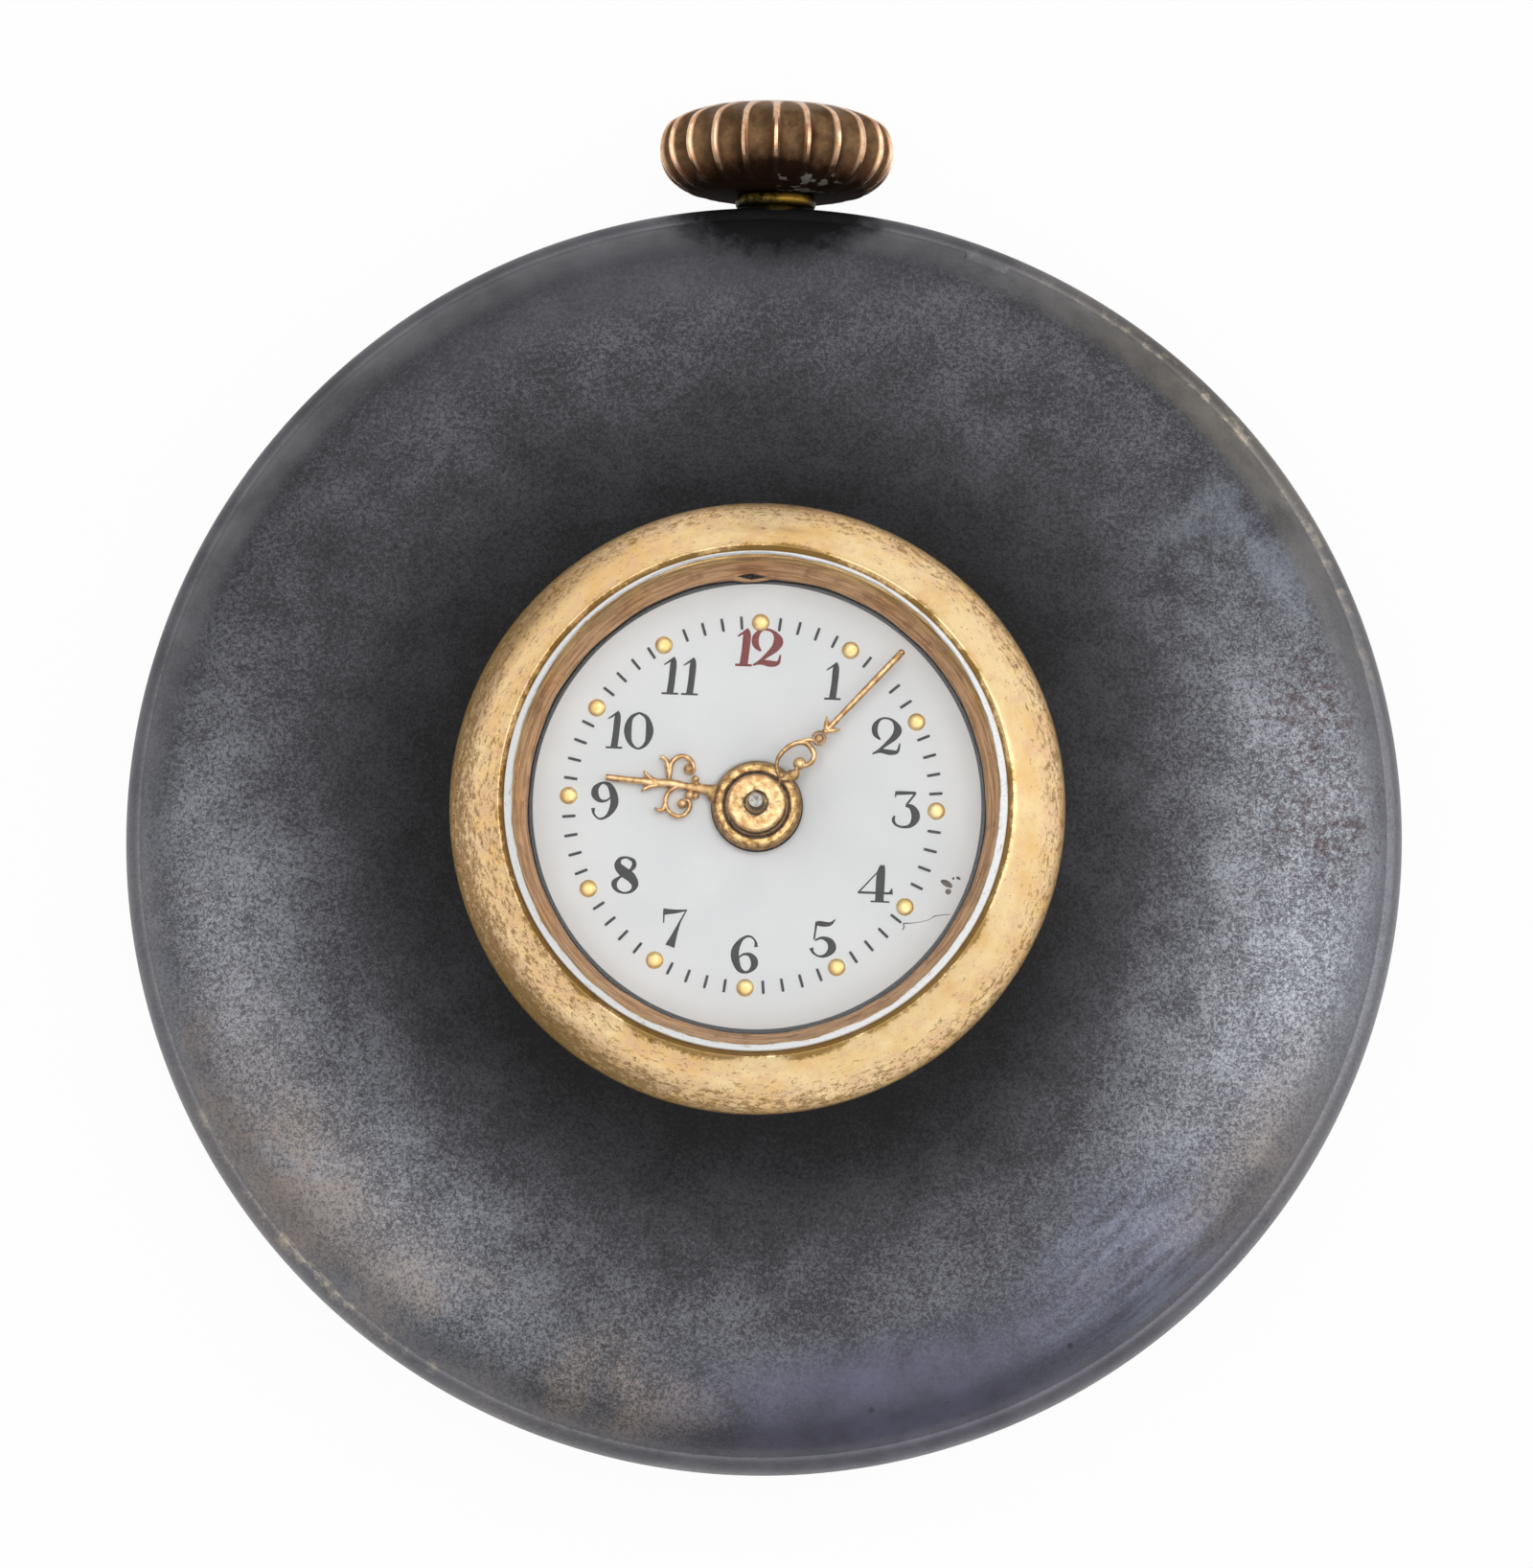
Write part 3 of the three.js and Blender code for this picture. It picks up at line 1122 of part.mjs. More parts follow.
// Click with its spring
const clickNose = placeAt(barrelPlace, ratchetTeeth * windingModule * halfShare + windingModule,
  clickAngle + clickNoseTurn);
const clickArm = strip([clickPlace, clickNose], leverWidth * wideShare, ratchetBack + levelGap,
  ratchetFront - levelGap);
const clickHub = moved(disc(leverWidth, ratchetBack + levelGap, ratchetFront - levelGap, tinySteps),
  clickPlace);
const clickBore = moved(disc(screwShaftRadius + runningFit, ratchetBack - overrun, ratchetFront + overrun,
  tinySteps), clickPlace);
addPiece('click', cut(joined(clickArm, clickHub), clickBore), steel, 0.3, 1);
const clickScrew = screwShape(screwHeadRadius * wideShare, ratchetBack,
  ratchetBack - screwHeadHeight * wideShare, bridgeFront);
addPiece('click_screw', moved(clickScrew, clickPlace), blueSteel, 0.3, 1);
const springFrom = clickAngle + clickNoseTurn + clickSpringGap;
const springTurns = arc(ratchetTeeth * windingModule * halfShare + windingModule + springThickness + levelGap,
  springFrom, springFrom + clickSpringTurn, tinySteps, barrelPlace);
addPiece('click_spring', strip(springTurns, springThickness, ratchetBack + levelGap, bridgeBack),
  blueSteel, 0.35, 1);

// Going train
const centreEnd = minuteBossTop - levelGap;
const centrePinionPhase = meshPhase(barrelPhase, barrelTeeth, directionTo(barrelPlace, centrePlace),
  pinionTeeth);
const thirdDirection = directionTo(centrePlace, thirdPlace);
const centreRim = centreTeeth * centreModule * halfShare - centreModule * dedendumShare - spokeWidth;
const centreBlank = prism(toothOutline(centreTeeth, centreModule, thirdDirection),
  windows(trainSpokes, hubRadius, centreRim, spokeWidth), centreWheelLow, centreWheelHigh);
const centreLeaves = prism(toothOutline(pinionTeeth, barrelModule, centrePinionPhase), [],
  centreWheelHigh - runningFit, barrelToothHigh + levelGap * halfShare);
const centreArbor = turned([
  [0, bridgeBack], [pivotRadius, bridgeBack], [pivotRadius, bridgeFront + runningFit],
    [arborRadius * doubleShare, bridgeFront + runningFit],
  [arborRadius * doubleShare, centreWheelHigh], [centreArborRadius, centreWheelHigh],
    [centreArborRadius, centreEnd],
  [pinRadius, centreEnd], [pinRadius, pinTop], [0, pinTop],
], smallSteps);
addPiece('centre_wheel', joined(centreBlank, centreLeaves, centreArbor), gilt, 0.35, 1);

const thirdPinionPhase = meshPhase(thirdDirection, centreTeeth, thirdDirection, pinionTeeth);
const fourthDirection = directionTo(thirdPlace, fourthPlace);
addPiece('third_wheel', moved(trainWheel({
  teeth: thirdTeeth, module: thirdModule, phase: fourthDirection, low: thirdWheelLow, high: thirdWheelHigh,
    spokes: trainSpokes,
  pinion: { teeth: pinionTeeth, module: centreModule, phase: thirdPinionPhase,
    low: bridgeFront + runningFit, high: fourthWheelLow - levelGap * halfShare },
  arbor: { low: bridgeBack, lowShoulder: bridgeFront + runningFit, highShoulder: plateBottom - runningFit,
    high: plateBottom + pivotDepth },
}), thirdPlace), gilt, 0.35, 1);

const fourthPinionPhase = meshPhase(fourthDirection, thirdTeeth, fourthDirection, pinionTeeth);
const escapeDirection = directionTo(fourthPlace, escapePlace);
addPiece('fourth_wheel', moved(trainWheel({
  teeth: fourthTeeth, module: fourthModule, phase: escapeDirection, low: fourthWheelLow,
    high: fourthWheelHigh, spokes: trainSpokes,
  pinion: { teeth: pinionTeeth, module: thirdModule, phase: fourthPinionPhase,
    low: thirdWheelLow - levelGap, high: thirdWheelHigh + levelGap },
  arbor: { low: bridgeBack, lowShoulder: bridgeFront + runningFit, highShoulder: plateBottom - runningFit,
    high: plateBottom + pivotDepth },
}), fourthPlace), gilt, 0.35, 1);

// Escape wheel: arms carry raised wedge-shaped teeth
const escapePinionPhase = meshPhase(escapeDirection, fourthTeeth, escapeDirection, escapePinionTeeth);
const escapeModule = (escapeRadius * doubleShare) / (escapeTeeth + addendumShare * doubleShare);
const escapePhase = balanceAngle + (fullTurn * halfShare * halfShare) / escapeTeeth;
const escapeHub = prism(toothOutline(escapeTeeth, escapeModule, escapePhase),
  windows(escapeSpokes, hubRadius * wideShare, escapeRadius * escapeRimShare - spokeWidth * wideShare,
    spokeWidth), escapeWheelLow, escapeWheelHigh);
const stalkCircle = escapeRadius - cylinderRadius - escapeArmWidth * doubleShare;
const escapeHeads = [];
for (let tooth = 0; tooth < escapeTeeth; tooth += 1) {
  const angle = escapePhase + (tooth * fullTurn) / escapeTeeth;
  const root = placeAt(centrePlace, stalkCircle, angle);
  const head = placeAt(centrePlace, escapeRadius, angle + escapeHeadTurn);
  escapeHeads.push(strip([root, head], escapeArmWidth, escapeHeadLow, escapeHeadHigh));
  const stalkEnd = placeAt(centrePlace, stalkCircle + escapeArmWidth, angle + escapeHeadTurn * stalkShare);
  escapeHeads.push(strip([root, stalkEnd], escapeArmWidth, escapeHeadLow, escapeWheelHigh));
}
const escapeShaft = turned([
  [0, escapeCockBack], [pivotRadius, escapeCockBack], [pivotRadius, escapeCockFront + runningFit],
  [arborRadius, escapeCockFront + runningFit], [arborRadius, plateBottom - runningFit],
  [pivotRadius, plateBottom - runningFit], [pivotRadius, plateBottom + pivotDepth],
    [0, plateBottom + pivotDepth],
], tinySteps);
const escapeLeaves = prism(toothOutline(escapePinionTeeth, fourthModule, escapePinionPhase), [],
  fourthWheelLow - runningFit, fourthWheelHigh + levelGap);
const escapeCollar = disc(hubRadius * wideShare + spokeWidth * halfShare, escapeWheelLow, escapeWheelHigh,
  tinySteps);
addPiece('escape_wheel', moved(joined(escapeHub, ...escapeHeads, escapeShaft, escapeLeaves, escapeCollar),
  escapePlace), steel, 0.3, 1);

// Balance with its staff, whose lower part is the notched cylinder
const balanceInner = balanceRadius - balanceRimWidth;
const balanceBlank = prism(arc(balanceRadius, 0, fullTurn - fullTurn / ringSteps, ringSteps - 1),
  windows(balanceSpokes, hubRadius, balanceInner, balanceRimWidth), balanceLow, balanceHigh);
const staffHole = disc(cylinderRadius, balanceLow - overrun, balanceHigh + overrun);
addPiece('balance_wheel', moved(cut(balanceBlank, staffHole), balancePlace), gilt, 0.3, 1);
const staffBlank = turned([
  [0, balanceCockBack + runningFit], [pivotRadius, balanceCockBack + runningFit],
    [pivotRadius, balanceCockFront + runningFit],
  [hairspringInnerRadius - hairspringWidth, balanceCockFront + runningFit],
  [hairspringInnerRadius - hairspringWidth, hairspringHigh + runningFit],
    [cylinderRadius, hairspringHigh + runningFit],
  [cylinderRadius, plateBottom - levelGap], [pivotRadius, plateBottom - levelGap],
    [pivotRadius, plateBottom + pivotDepth],
  [0, plateBottom + pivotDepth],
], smallSteps);
const notchReach = cylinderRadius + overrun;
const cylinderNotch = spun(prism(
  [[cylinderRadius * cylinderShare, -notchReach], [cylinderRadius * cylinderShare, notchReach],
    [-notchReach, notchReach], [-notchReach, -notchReach]],
  [], escapeHeadLow - levelGap, escapeHeadHigh + levelGap,
), balanceAngle);
addPiece('balance_staff', moved(cut(staffBlank, cylinderNotch), balancePlace), steel, 0.25, 1);
const hairspring = spiral(hairspringInnerRadius - hairspringWidth * halfShare, hairspringRadius,
  hairspringWidth,
  hairspringLoops, hairspringLow, hairspringHigh, balanceFootTurn);
addPiece('hairspring', moved(hairspring, balancePlace), blueSteel, 0.3, 1);
const studPlace = placeAt(balancePlace, hairspringRadius + studRadius + hairspringWidth * halfShare,
  balanceFootTurn);
addPiece('hairspring_stud', moved(disc(studRadius, balanceCockFront, hairspringHigh, tinySteps),
  studPlace), steel, 0.3, 1);
const regulatorRing = sleeve(regulatorRadius - leverWidth * halfShare, regulatorRadius, regulatorBack,
  regulatorFront);
const regulatorArm = strip([[regulatorRadius - levelGap, 0], [regulatorRadius + regulatorReach, 0]],
  leverWidth * halfShare, regulatorBack, regulatorFront);
addPiece('regulator', moved(spun(joined(regulatorRing, regulatorArm),
  balanceFootTurn + quarterTurn * halfShare), balancePlace), steel, 0.25, 1);
const capRadius = regulatorRadius - leverWidth * halfShare - runningFit;
addPiece('end_jewel', moved(disc(capRadius, regulatorBack, balanceCockBack, smallSteps), balancePlace),
  ruby, 0.1, 0);

// Setting lever and yoke on the dial side of the plate
const leverPivot = [leverPivotAcross, windingEnd - leverWidth];
const leverPin = [0, (stemGrooveStart + stemGrooveEnd) * halfShare];
const leverArm = strip([leverPivot, leverPin], leverWidth, leverLow, leverHigh);
const leverHub = moved(disc(leverWidth, leverLow, leverHigh, tinySteps), leverPivot);
const leverNib = moved(disc(slidingGrooveWidth * halfShare - runningFit,
  widestHeight + stemGrooveRadius + runningFit, leverHigh, tinySteps), leverPin);
addPiece('setting_lever', joined(leverArm, leverHub, leverNib), steel, 0.3, 1);
const yokeEnd = [slidingGrooveRadius + runningFit, grooveStart + slidingGrooveWidth * halfShare];
const yokePivot = [leverPivotAcross + leverWidth, slidingStart];
const yokeArm = strip([yokePivot, [slidingPinionRadius + leverWidth, yokeEnd[1]],
  [-slidingGrooveWidth * halfShare, yokeEnd[1]]],
  slidingGrooveWidth - runningFit * doubleShare, leverLow, leverHigh);
const yokeHub = moved(disc(leverWidth, leverLow, leverHigh, tinySteps), yokePivot);
const yokeNib = moved(disc(slidingGrooveWidth * halfShare - runningFit,
  widestHeight + slidingGrooveRadius + runningFit, leverHigh, tinySteps), [0, yokeEnd[1]]);
addPiece('yoke', joined(yokeArm, yokeHub, yokeNib), steel, 0.3, 1);

export default watch;
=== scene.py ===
"""Buttonhole watch with a flared gunmetal case: its looks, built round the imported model.

Lengths in the helpers are millimetres, and meshes are written in metres. On the dial's plane
x runs towards the three and y towards the twelve.
"""
import math

import bmesh
import bpy
import numpy as np
from mathutils import Matrix, Vector


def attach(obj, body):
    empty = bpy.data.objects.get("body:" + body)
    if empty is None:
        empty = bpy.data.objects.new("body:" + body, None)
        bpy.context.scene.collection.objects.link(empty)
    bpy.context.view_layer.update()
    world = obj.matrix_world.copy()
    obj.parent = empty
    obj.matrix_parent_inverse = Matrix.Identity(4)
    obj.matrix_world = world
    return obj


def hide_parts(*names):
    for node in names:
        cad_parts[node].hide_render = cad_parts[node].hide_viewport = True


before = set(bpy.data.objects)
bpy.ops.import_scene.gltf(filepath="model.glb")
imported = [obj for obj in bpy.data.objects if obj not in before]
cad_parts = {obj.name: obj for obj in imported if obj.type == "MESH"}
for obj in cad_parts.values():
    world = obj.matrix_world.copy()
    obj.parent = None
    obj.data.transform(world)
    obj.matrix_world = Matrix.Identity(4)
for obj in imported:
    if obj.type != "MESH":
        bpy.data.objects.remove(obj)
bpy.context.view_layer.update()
MM = 0.001
TURN = math.tau
SHARP = 32.0

# Sizes of the case: the dish, the lip where the front slides in, the neck and the seat of the crystal
CASE_RADIUS, BACK_FLAT, BACK_WALL, AXIS_HEIGHT = 14.0, 8.0, 0.42, 2.75
LIP_RADIUS, LIP_TOP, LEDGE_RADIUS, LEDGE_TOP = 13.15, 3.44, 12.45, 2.0
NECK_RADIUS, NECK_TOP, SEAT_RADIUS, SEAT_TOP = 5.55, 8.25, 5.475, 9.42
NOTCH_TURN, NOTCH_WIDTH, NOTCH_DEPTH = -20.2, 1.0, 13.39

# Sizes of the crown and its stem's tube
CROWN_START, CROWN_LENGTH, CROWN_RADIUS = 14.3, 1.93, 2.585
RIDGES, FLUTE_DEPTH, STEM_HOLE = 22, 0.24, 0.57

# Sizes of the dial and hands, with the levels of a hand's foot, top and hub
DIAL_TOP, DIAL_TURN, PRINT_CENTRE = 8.6, 1.2, (-0.1, 0.03)
PRINT_FOOT, PRINT_TOP, CRACK_TOP = DIAL_TOP - 0.004, DIAL_TOP + 0.012, DIAL_TOP + 0.006
DOT_CIRCLE, MARK_CIRCLE, MARK_LENGTH, MARK_WIDTH, MINUTES = 4.0, 3.995, 0.29, 0.062, 60
NUMERAL_HEIGHT, THINNEST_STROKE = 0.82, 0.034
HOUR_LEVEL, MINUTE_LEVEL, STUD_RISE = (8.72, 8.84, 8.94), (9.08, 9.20, 9.30), 0.03
HOUR_ANGLE, MINUTE_ANGLE = 280.1, 42.7

# The photograph's view: its height and scale in pixels, and how far the axis lies from its middle
PHOTO_HEIGHT, PIXELS_PER_MM, AIM_PIXELS = 1636, 47.57, (3.0, 58.9)
VIEW_TILT, VIEW_SIDE, VIEW_ROLL, VIEW_DISTANCE = 7.5, 11.9, 1.077, 600.0


# Colours and shader nodes
def shade(code):
    """A web colour as linear light."""
    parts = [int(code[i:i + 2], 16) / 255 for i in (0, 2, 4)]
    return tuple(c / 12.92 if c <= 0.04045 else ((c + 0.055) / 1.055) ** 2.4 for c in parts) + (1.0,)


class Finish:
    """A material in the making: its methods add nodes and return what comes out of them."""

    def __init__(self, name):
        self.material = bpy.data.materials.new(name)
        self.material.use_nodes = True
        self.tree = self.material.node_tree
        self.tree.nodes.clear()
        self.out = self.add("OutputMaterial")
        self.shader = self.add("BsdfPrincipled")
        self.tree.links.new(self.shader.outputs["BSDF"], self.out.inputs["Surface"])
        self.tone = None
        place = self.add("TexCoord").outputs["Object"]
        self.place = self.vector("MULTIPLY", place, (1 / MM, 1 / MM, 1 / MM))

    def add(self, kind, inputs=None, **settings):
        """A node with its settings, and with its inputs by name: numbers, colours or links."""
        node = self.tree.nodes.new("ShaderNode" + kind)
        for name, value in settings.items():
            setattr(node, name, value)
        for name, value in (inputs or {}).items():
            self.put(node.inputs[name], value)
        return node

    def put(self, socket, value):
        if isinstance(value, bpy.types.NodeSocket):
            self.tree.links.new(value, socket)
        elif value is not None:
            socket.default_value = value

    def calc(self, operation, *values, kind="Math", result=0):
        node = self.add(kind, operation=operation)
        for socket, value in zip(node.inputs, values):
            self.put(socket, value)
        return node.outputs[result]

    def vector(self, operation, *values):
        result = "Value" if operation in ("LENGTH", "DISTANCE") else "Vector"
        return self.calc(operation, *values, kind="VectorMath", result=result)

    def plus(self, a, b):
        return self.calc("ADD", a, b)

    def less(self, a, b):
        return self.calc("SUBTRACT", a, b)

    def times(self, a, b):
        return self.calc("MULTIPLY", a, b)

    def most(self, a, b):
        return self.calc("MAXIMUM", a, b)

    def gap(self, a, b):
        """How far two values are apart."""
        return self.calc("ABSOLUTE", self.less(a, b))

    def scaled(self, a, by, base):
        """A value times a factor, on top of a base."""
        return self.calc("MULTIPLY_ADD", a, by, base)

    def swayed(self, base, noise, by):
        """A value pushed up and down by a noise whose middle is a half."""
        return self.scaled(self.less(noise, 0.5), by, base)

    def axes(self):
        """Across, up the dial and out of it, in millimetres."""
        return self.add("SeparateXYZ", {"Vector": self.place}).outputs[:]

    def from_axis(self):
        """Distance from the watch's centre line, in millimetres."""
        return self.vector("LENGTH", self.stretched((1.0, 1.0, 0.0)))

    def near(self, centre, reach):
        """One at a place on the dial's plane, falling smoothly to nothing at its reach."""
        distance = self.vector("DISTANCE", self.stretched((1.0, 1.0, 0.0)), (*centre, 0.0))
        return self.band(distance, reach, 0.0)

    def stretched(self, factors, source=None):
        return self.vector("MULTIPLY", source or self.place, factors)

    def round_place(self, radius):
        """Places unrolled round the centre line: along the circle, out from it and up."""
        x, y, z = self.axes()
        along = self.times(self.calc("ARCTAN2", y, x), radius)
        return self.add("CombineXYZ", {"X": along, "Y": self.from_axis(), "Z": z}).outputs[0]

    def noise(self, scale, detail=3.0, roughness=0.5, source=None, distortion=0.0):
        node = self.add("TexNoise", {
            "Vector": source or self.place, "Scale": scale, "Detail": detail,
            "Roughness": roughness, "Distortion": distortion})
        return node.outputs["Fac"]

    def cells(self, scale):
        node = self.add("TexVoronoi", {"Vector": self.place, "Scale": scale})
        return node.outputs["Distance"]

    def attribute(self, name):
        return self.add("Attribute", attribute_name=name).outputs["Fac"]

    def band(self, value, low, high, to_low=0.0, to_high=1.0, smooth=True):
        """Nothing up to low and one from high, or what is given for them, eased in between."""
        node = self.add("MapRange", {
            "Value": value, "From Min": low, "From Max": high, "To Min": to_low, "To Max": to_high},
            interpolation_type="SMOOTHSTEP" if smooth else "LINEAR")
        return node.outputs["Result"]

    def ramp(self, value, colours):
        """Colours at even steps from nothing to one."""
        node = self.add("ValToRGB", {"Fac": value})
        stops = node.color_ramp.elements
        while len(stops) < len(colours):
            stops.new(0.5)
        for i, colour in enumerate(colours):
            stops[i].position = i / (len(colours) - 1)
            stops[i].color = shade(colour)
        return node.outputs["Color"]

    def mix(self, share, a, b):
        node = self.add("Mix", data_type="RGBA")
        factor, first, second = node.inputs[0], node.inputs[6], node.inputs[7]
        self.put(factor, share)
        self.put(first, shade(a) if isinstance(a, str) else a)
        self.put(second, shade(b) if isinstance(b, str) else b)
        return node.outputs[2]

    def paint(self, cover, strength, colour):
        """Lays a colour over the tone so far, where the cover is one."""
        self.tone = self.mix(self.times(cover, strength), self.tone, colour)

    def bump(self, height, strength, distance, after=None):
        node = self.add("Bump", {
            "Strength": strength, "Distance": distance * MM, "Height": height, "Normal": after})
        return node.outputs["Normal"]

    def surface(self, colour=None, metallic=None, roughness=None, normal=None, **more):
        names = {"Base Color": shade(colour) if isinstance(colour, str) else colour,
                 "Metallic": metallic, "Roughness": roughness, "Normal": normal}
        for name, value in names.items():
            self.put(self.shader.inputs[name], value)
        for name, value in more.items():
            self.put(self.shader.inputs[name.replace("_", " ")], value)
        return self.material

    def blend(self, share, first, second):
        """Two shaders in one, made the material's surface."""
        node = self.add("MixShader")
        self.put(node.inputs[0], share)
        self.put(node.inputs[1], first.outputs[0])
        self.put(node.inputs[2], second.outputs[0])
        self.put(self.out.inputs["Surface"], node.outputs[0])
        return node


# Shapes
def in_scene(name, data):
    """A new object in the scene, at the origin and unturned."""
    item = bpy.data.objects.new(name, data)
    bpy.context.scene.collection.objects.link(item)
    return item


def in_metres(points):
    return [tuple(c * MM for c in p) for p in points]


def in_parts(whole, lines):
    """Lines of places from a table that gives them in whole parts, such as hundredths."""
    return [[tuple(value / whole for value in place) for place in line] for line in lines]


def piece(name, parts, finish, body, stands_for=(), sharp=SHARP, values=None):
    """One object from one or more closed shells, each a pair of points and faces."""
    points, faces = [], []
    for shell_points, shell_faces in parts:
        start = len(points)
        points += in_metres(shell_points)
        faces += [tuple(start + i for i in face) for face in shell_faces]
    mesh = bpy.data.meshes.new(name)
    mesh.from_pydata(points, [], faces)
    mesh.update()
    outwards(mesh)
    if values is not None:
        layer = mesh.attributes.new(values[0], "FLOAT", "POINT")
        layer.data.foreach_set("value", values[1])
    smooth(mesh, sharp)
    mesh.materials.append(finish)
    item = in_scene(name, mesh)
    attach(item, body)
    if stands_for:
        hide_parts(*stands_for)
    return item


def outwards(mesh):
    work = bmesh.new()
    work.from_mesh(mesh)
    bmesh.ops.recalc_face_normals(work, faces=work.faces)
    work.to_mesh(mesh)
    work.free()


def smooth(mesh, sharp):
    mesh.shade_smooth()
    mesh.set_sharp_from_angle(angle=math.radians(sharp))


def applied(item):
    """Turns what an object's modifiers give into its own plain mesh."""
    seen = item.evaluated_get(bpy.context.evaluated_depsgraph_get())
    mesh = bpy.data.meshes.new_from_object(seen)
    old = item.data
    item.modifiers.clear()
    item.data = mesh
    bpy.data.meshes.remove(old)


def cut_out(item, shell):
    """Cuts a closed shell from a piece for good."""
    mesh = bpy.data.meshes.new("cutter")
    mesh.from_pydata(in_metres(shell[0]), [], shell[1])
    outwards(mesh)
    cutter = in_scene("cutter", mesh)
    step = item.modifiers.new("cut", "BOOLEAN")
    step.operation = "DIFFERENCE"
    step.solver = "EXACT"
    step.object = cutter
    applied(item)
    bpy.data.objects.remove(cutter)
    smooth(item.data, SHARP)


def flowing(points, steps=8):
    """A smooth line through points of any width of row, by centripetal Catmull-Rom."""
    def between(a, b, start, end, t):
        return a * (end - t) / (end - start) + b * (t - start) / (end - start)
    rows = np.array(points, float)
    first, last = 2 * rows[0] - rows[1], 2 * rows[-1] - rows[-2]
    rows = np.vstack([first, rows, last])
    line = []
    for i in range(1, len(rows) - 2):
        a, b, c, d = rows[i - 1:i + 3]
        knots = [0.0]
        for p, q in ((a, b), (b, c), (c, d)):
            knots.append(knots[-1] + max(np.linalg.norm((q - p)[:2]), 1e-6) ** 0.5)
        t0, t1, t2, t3 = knots
        for k in range(steps):
            t = t1 + (t2 - t1) * k / steps
            p1, p2, p3 = between(a, b, t0, t1, t), between(b, c, t1, t2, t), between(c, d, t2, t3, t)
            q1, q2 = between(p1, p2, t0, t2, t), between(p2, p3, t1, t3, t)
            line.append(between(q1, q2, t1, t2, t))
    line.append(rows[-2])
    return [tuple(p) for p in line]


def eased(corners, steps=5):
    """A closed outline whose corners (x, y, ease) are rounded off by their own ease."""
    outline = []
    for i, (x, y, ease) in enumerate(corners):
        here = np.array([x, y])
        if ease <= 0:
            outline.append((x, y))
            continue
        before = np.array(corners[i - 1][:2]) - here
        after = np.array(corners[(i + 1) % len(corners)][:2]) - here
        start = here + before / np.linalg.norm(before) * ease
        end = here + after / np.linalg.norm(after) * ease
        for k in range(steps + 1):
            t = k / steps
            outline.append(tuple((1 - t) ** 2 * start + 2 * t * (1 - t) * here + t * t * end))
    return outline


def quarter_round(radius, height, across, up, steps):
    """Places (radius, height) of a bowl's wall, from its flat floor to where it stands upright."""
    angles = [math.pi / 2 * k / steps for k in range(steps + 1)]
    return [(radius + across * math.sin(a), height + up * (1 - math.cos(a))) for a in angles]


def lathe(outline, steps=288):
    """A closed outline of radius and height, turned about the centre line."""
    points, faces, rings = [], [], []
    for radius, height in outline:
        if radius < 1e-6:
            rings.append([len(points)] * steps)
            points.append((0.0, 0.0, height))
        else:
            rings.append(list(range(len(points), len(points) + steps)))
            points += [(radius * math.cos(TURN * k / steps), radius * math.sin(TURN * k / steps), height)
                       for k in range(steps)]
    for i, ring in enumerate(rings):
        other = rings[(i + 1) % len(rings)]
        if ring[0] == ring[1] and other[0] == other[1]:
            continue
        for k in range(steps):
            corner = [ring[k], ring[(k + 1) % steps], other[(k + 1) % steps], other[k]]
            face = [v for j, v in enumerate(corner) if v != corner[j - 1]]
            if len(face) > 2:
                faces.append(tuple(face))
    return points, faces


def ribbon(line, low, high):
    """A crowned strip along (x, y, width) places, with closed ends."""
    section = [(-1, 0), (-1, 0.35), (-0.86, 0.72), (-0.5, 0.94), (0, 1), (0.5, 0.94), (0.86, 0.72),
               (1, 0.35), (1, 0)]
    points, faces, count = [], [], len(line)
    for i, (x, y, width) in enumerate(line):
        ahead, behind = line[min(i + 1, count - 1)], line[max(i - 1, 0)]
        along = np.array([ahead[0] - behind[0], ahead[1] - behind[1]])
        along /= max(np.linalg.norm(along), 1e-9)
        for across, up in section:
            reach = across * width / 2
            points.append((x - along[1] * reach, y + along[0] * reach, low + (high - low) * up))
    span = len(section)
    for i in range(count - 1):
        for k in range(span):
            a, b = i * span + k, i * span + (k + 1) % span
            faces.append((a, b, b + span, a + span))
    faces.append(tuple(range(span)))
    faces.append(tuple(range((count - 1) * span, count * span)))
    return points, faces


def button(centre, radius, low, high):
    """A low round stud with a domed top and a flat base."""
    edge, steps = low + (high - low) * 0.35, 5
    turns = [math.pi / 2 * k / steps for k in range(steps)]
    dome = [(radius * math.cos(a), edge + (high - edge) * math.sin(a)) for a in turns]
    return moved(lathe([(0.0, low), (radius, low)] + dome + [(0.0, high)], 24), centre)


def moved(shell, by):
    return shifted(shell, lambda p: (p[0] + by[0], p[1] + by[1], p[2]))


def shifted(shell, change):
    return [change(p) for p in shell[0]], shell[1]


def about_stem(shell):
    """Lays a shell turned about the centre line round the winding stem instead."""
    return shifted(shell, lambda p: (p[0], p[2], AXIS_HEIGHT - p[1]))


def turned(x, y, degrees):
    """A place turned anticlockwise about the centre line."""
    angle = math.radians(degrees)
    return x * math.cos(angle) - y * math.sin(angle), x * math.sin(angle) + y * math.cos(angle)


def clockwise(place, degrees):
    """Where a place given along a hand and to its right lies on the dial."""
    along, right = place[:2]
    turn = math.radians(degrees)
    return (along * math.sin(turn) + right * math.cos(turn),
            along * math.cos(turn) - right * math.sin(turn)) + tuple(place[2:])


# Finishes
CASE_TONES = ("2b2a2b", "48484c", "696a70", "888a91", "a6a9b1")
# Places of painted light on the case, partly wear, as (x, y), their reach and their strength; a negative
# strength paints shade
CASE_SHEEN_AND_WEAR = (((12.7, -2.6), 12.2, 0.62), ((-10.0, -8.5), 10.5, 0.46), ((-14.0, -1.5), 8.0, 0.3),
             ((1.5, -10.0), 7.0, 0.2), ((2.5, -13.2), 5.0, -0.3))


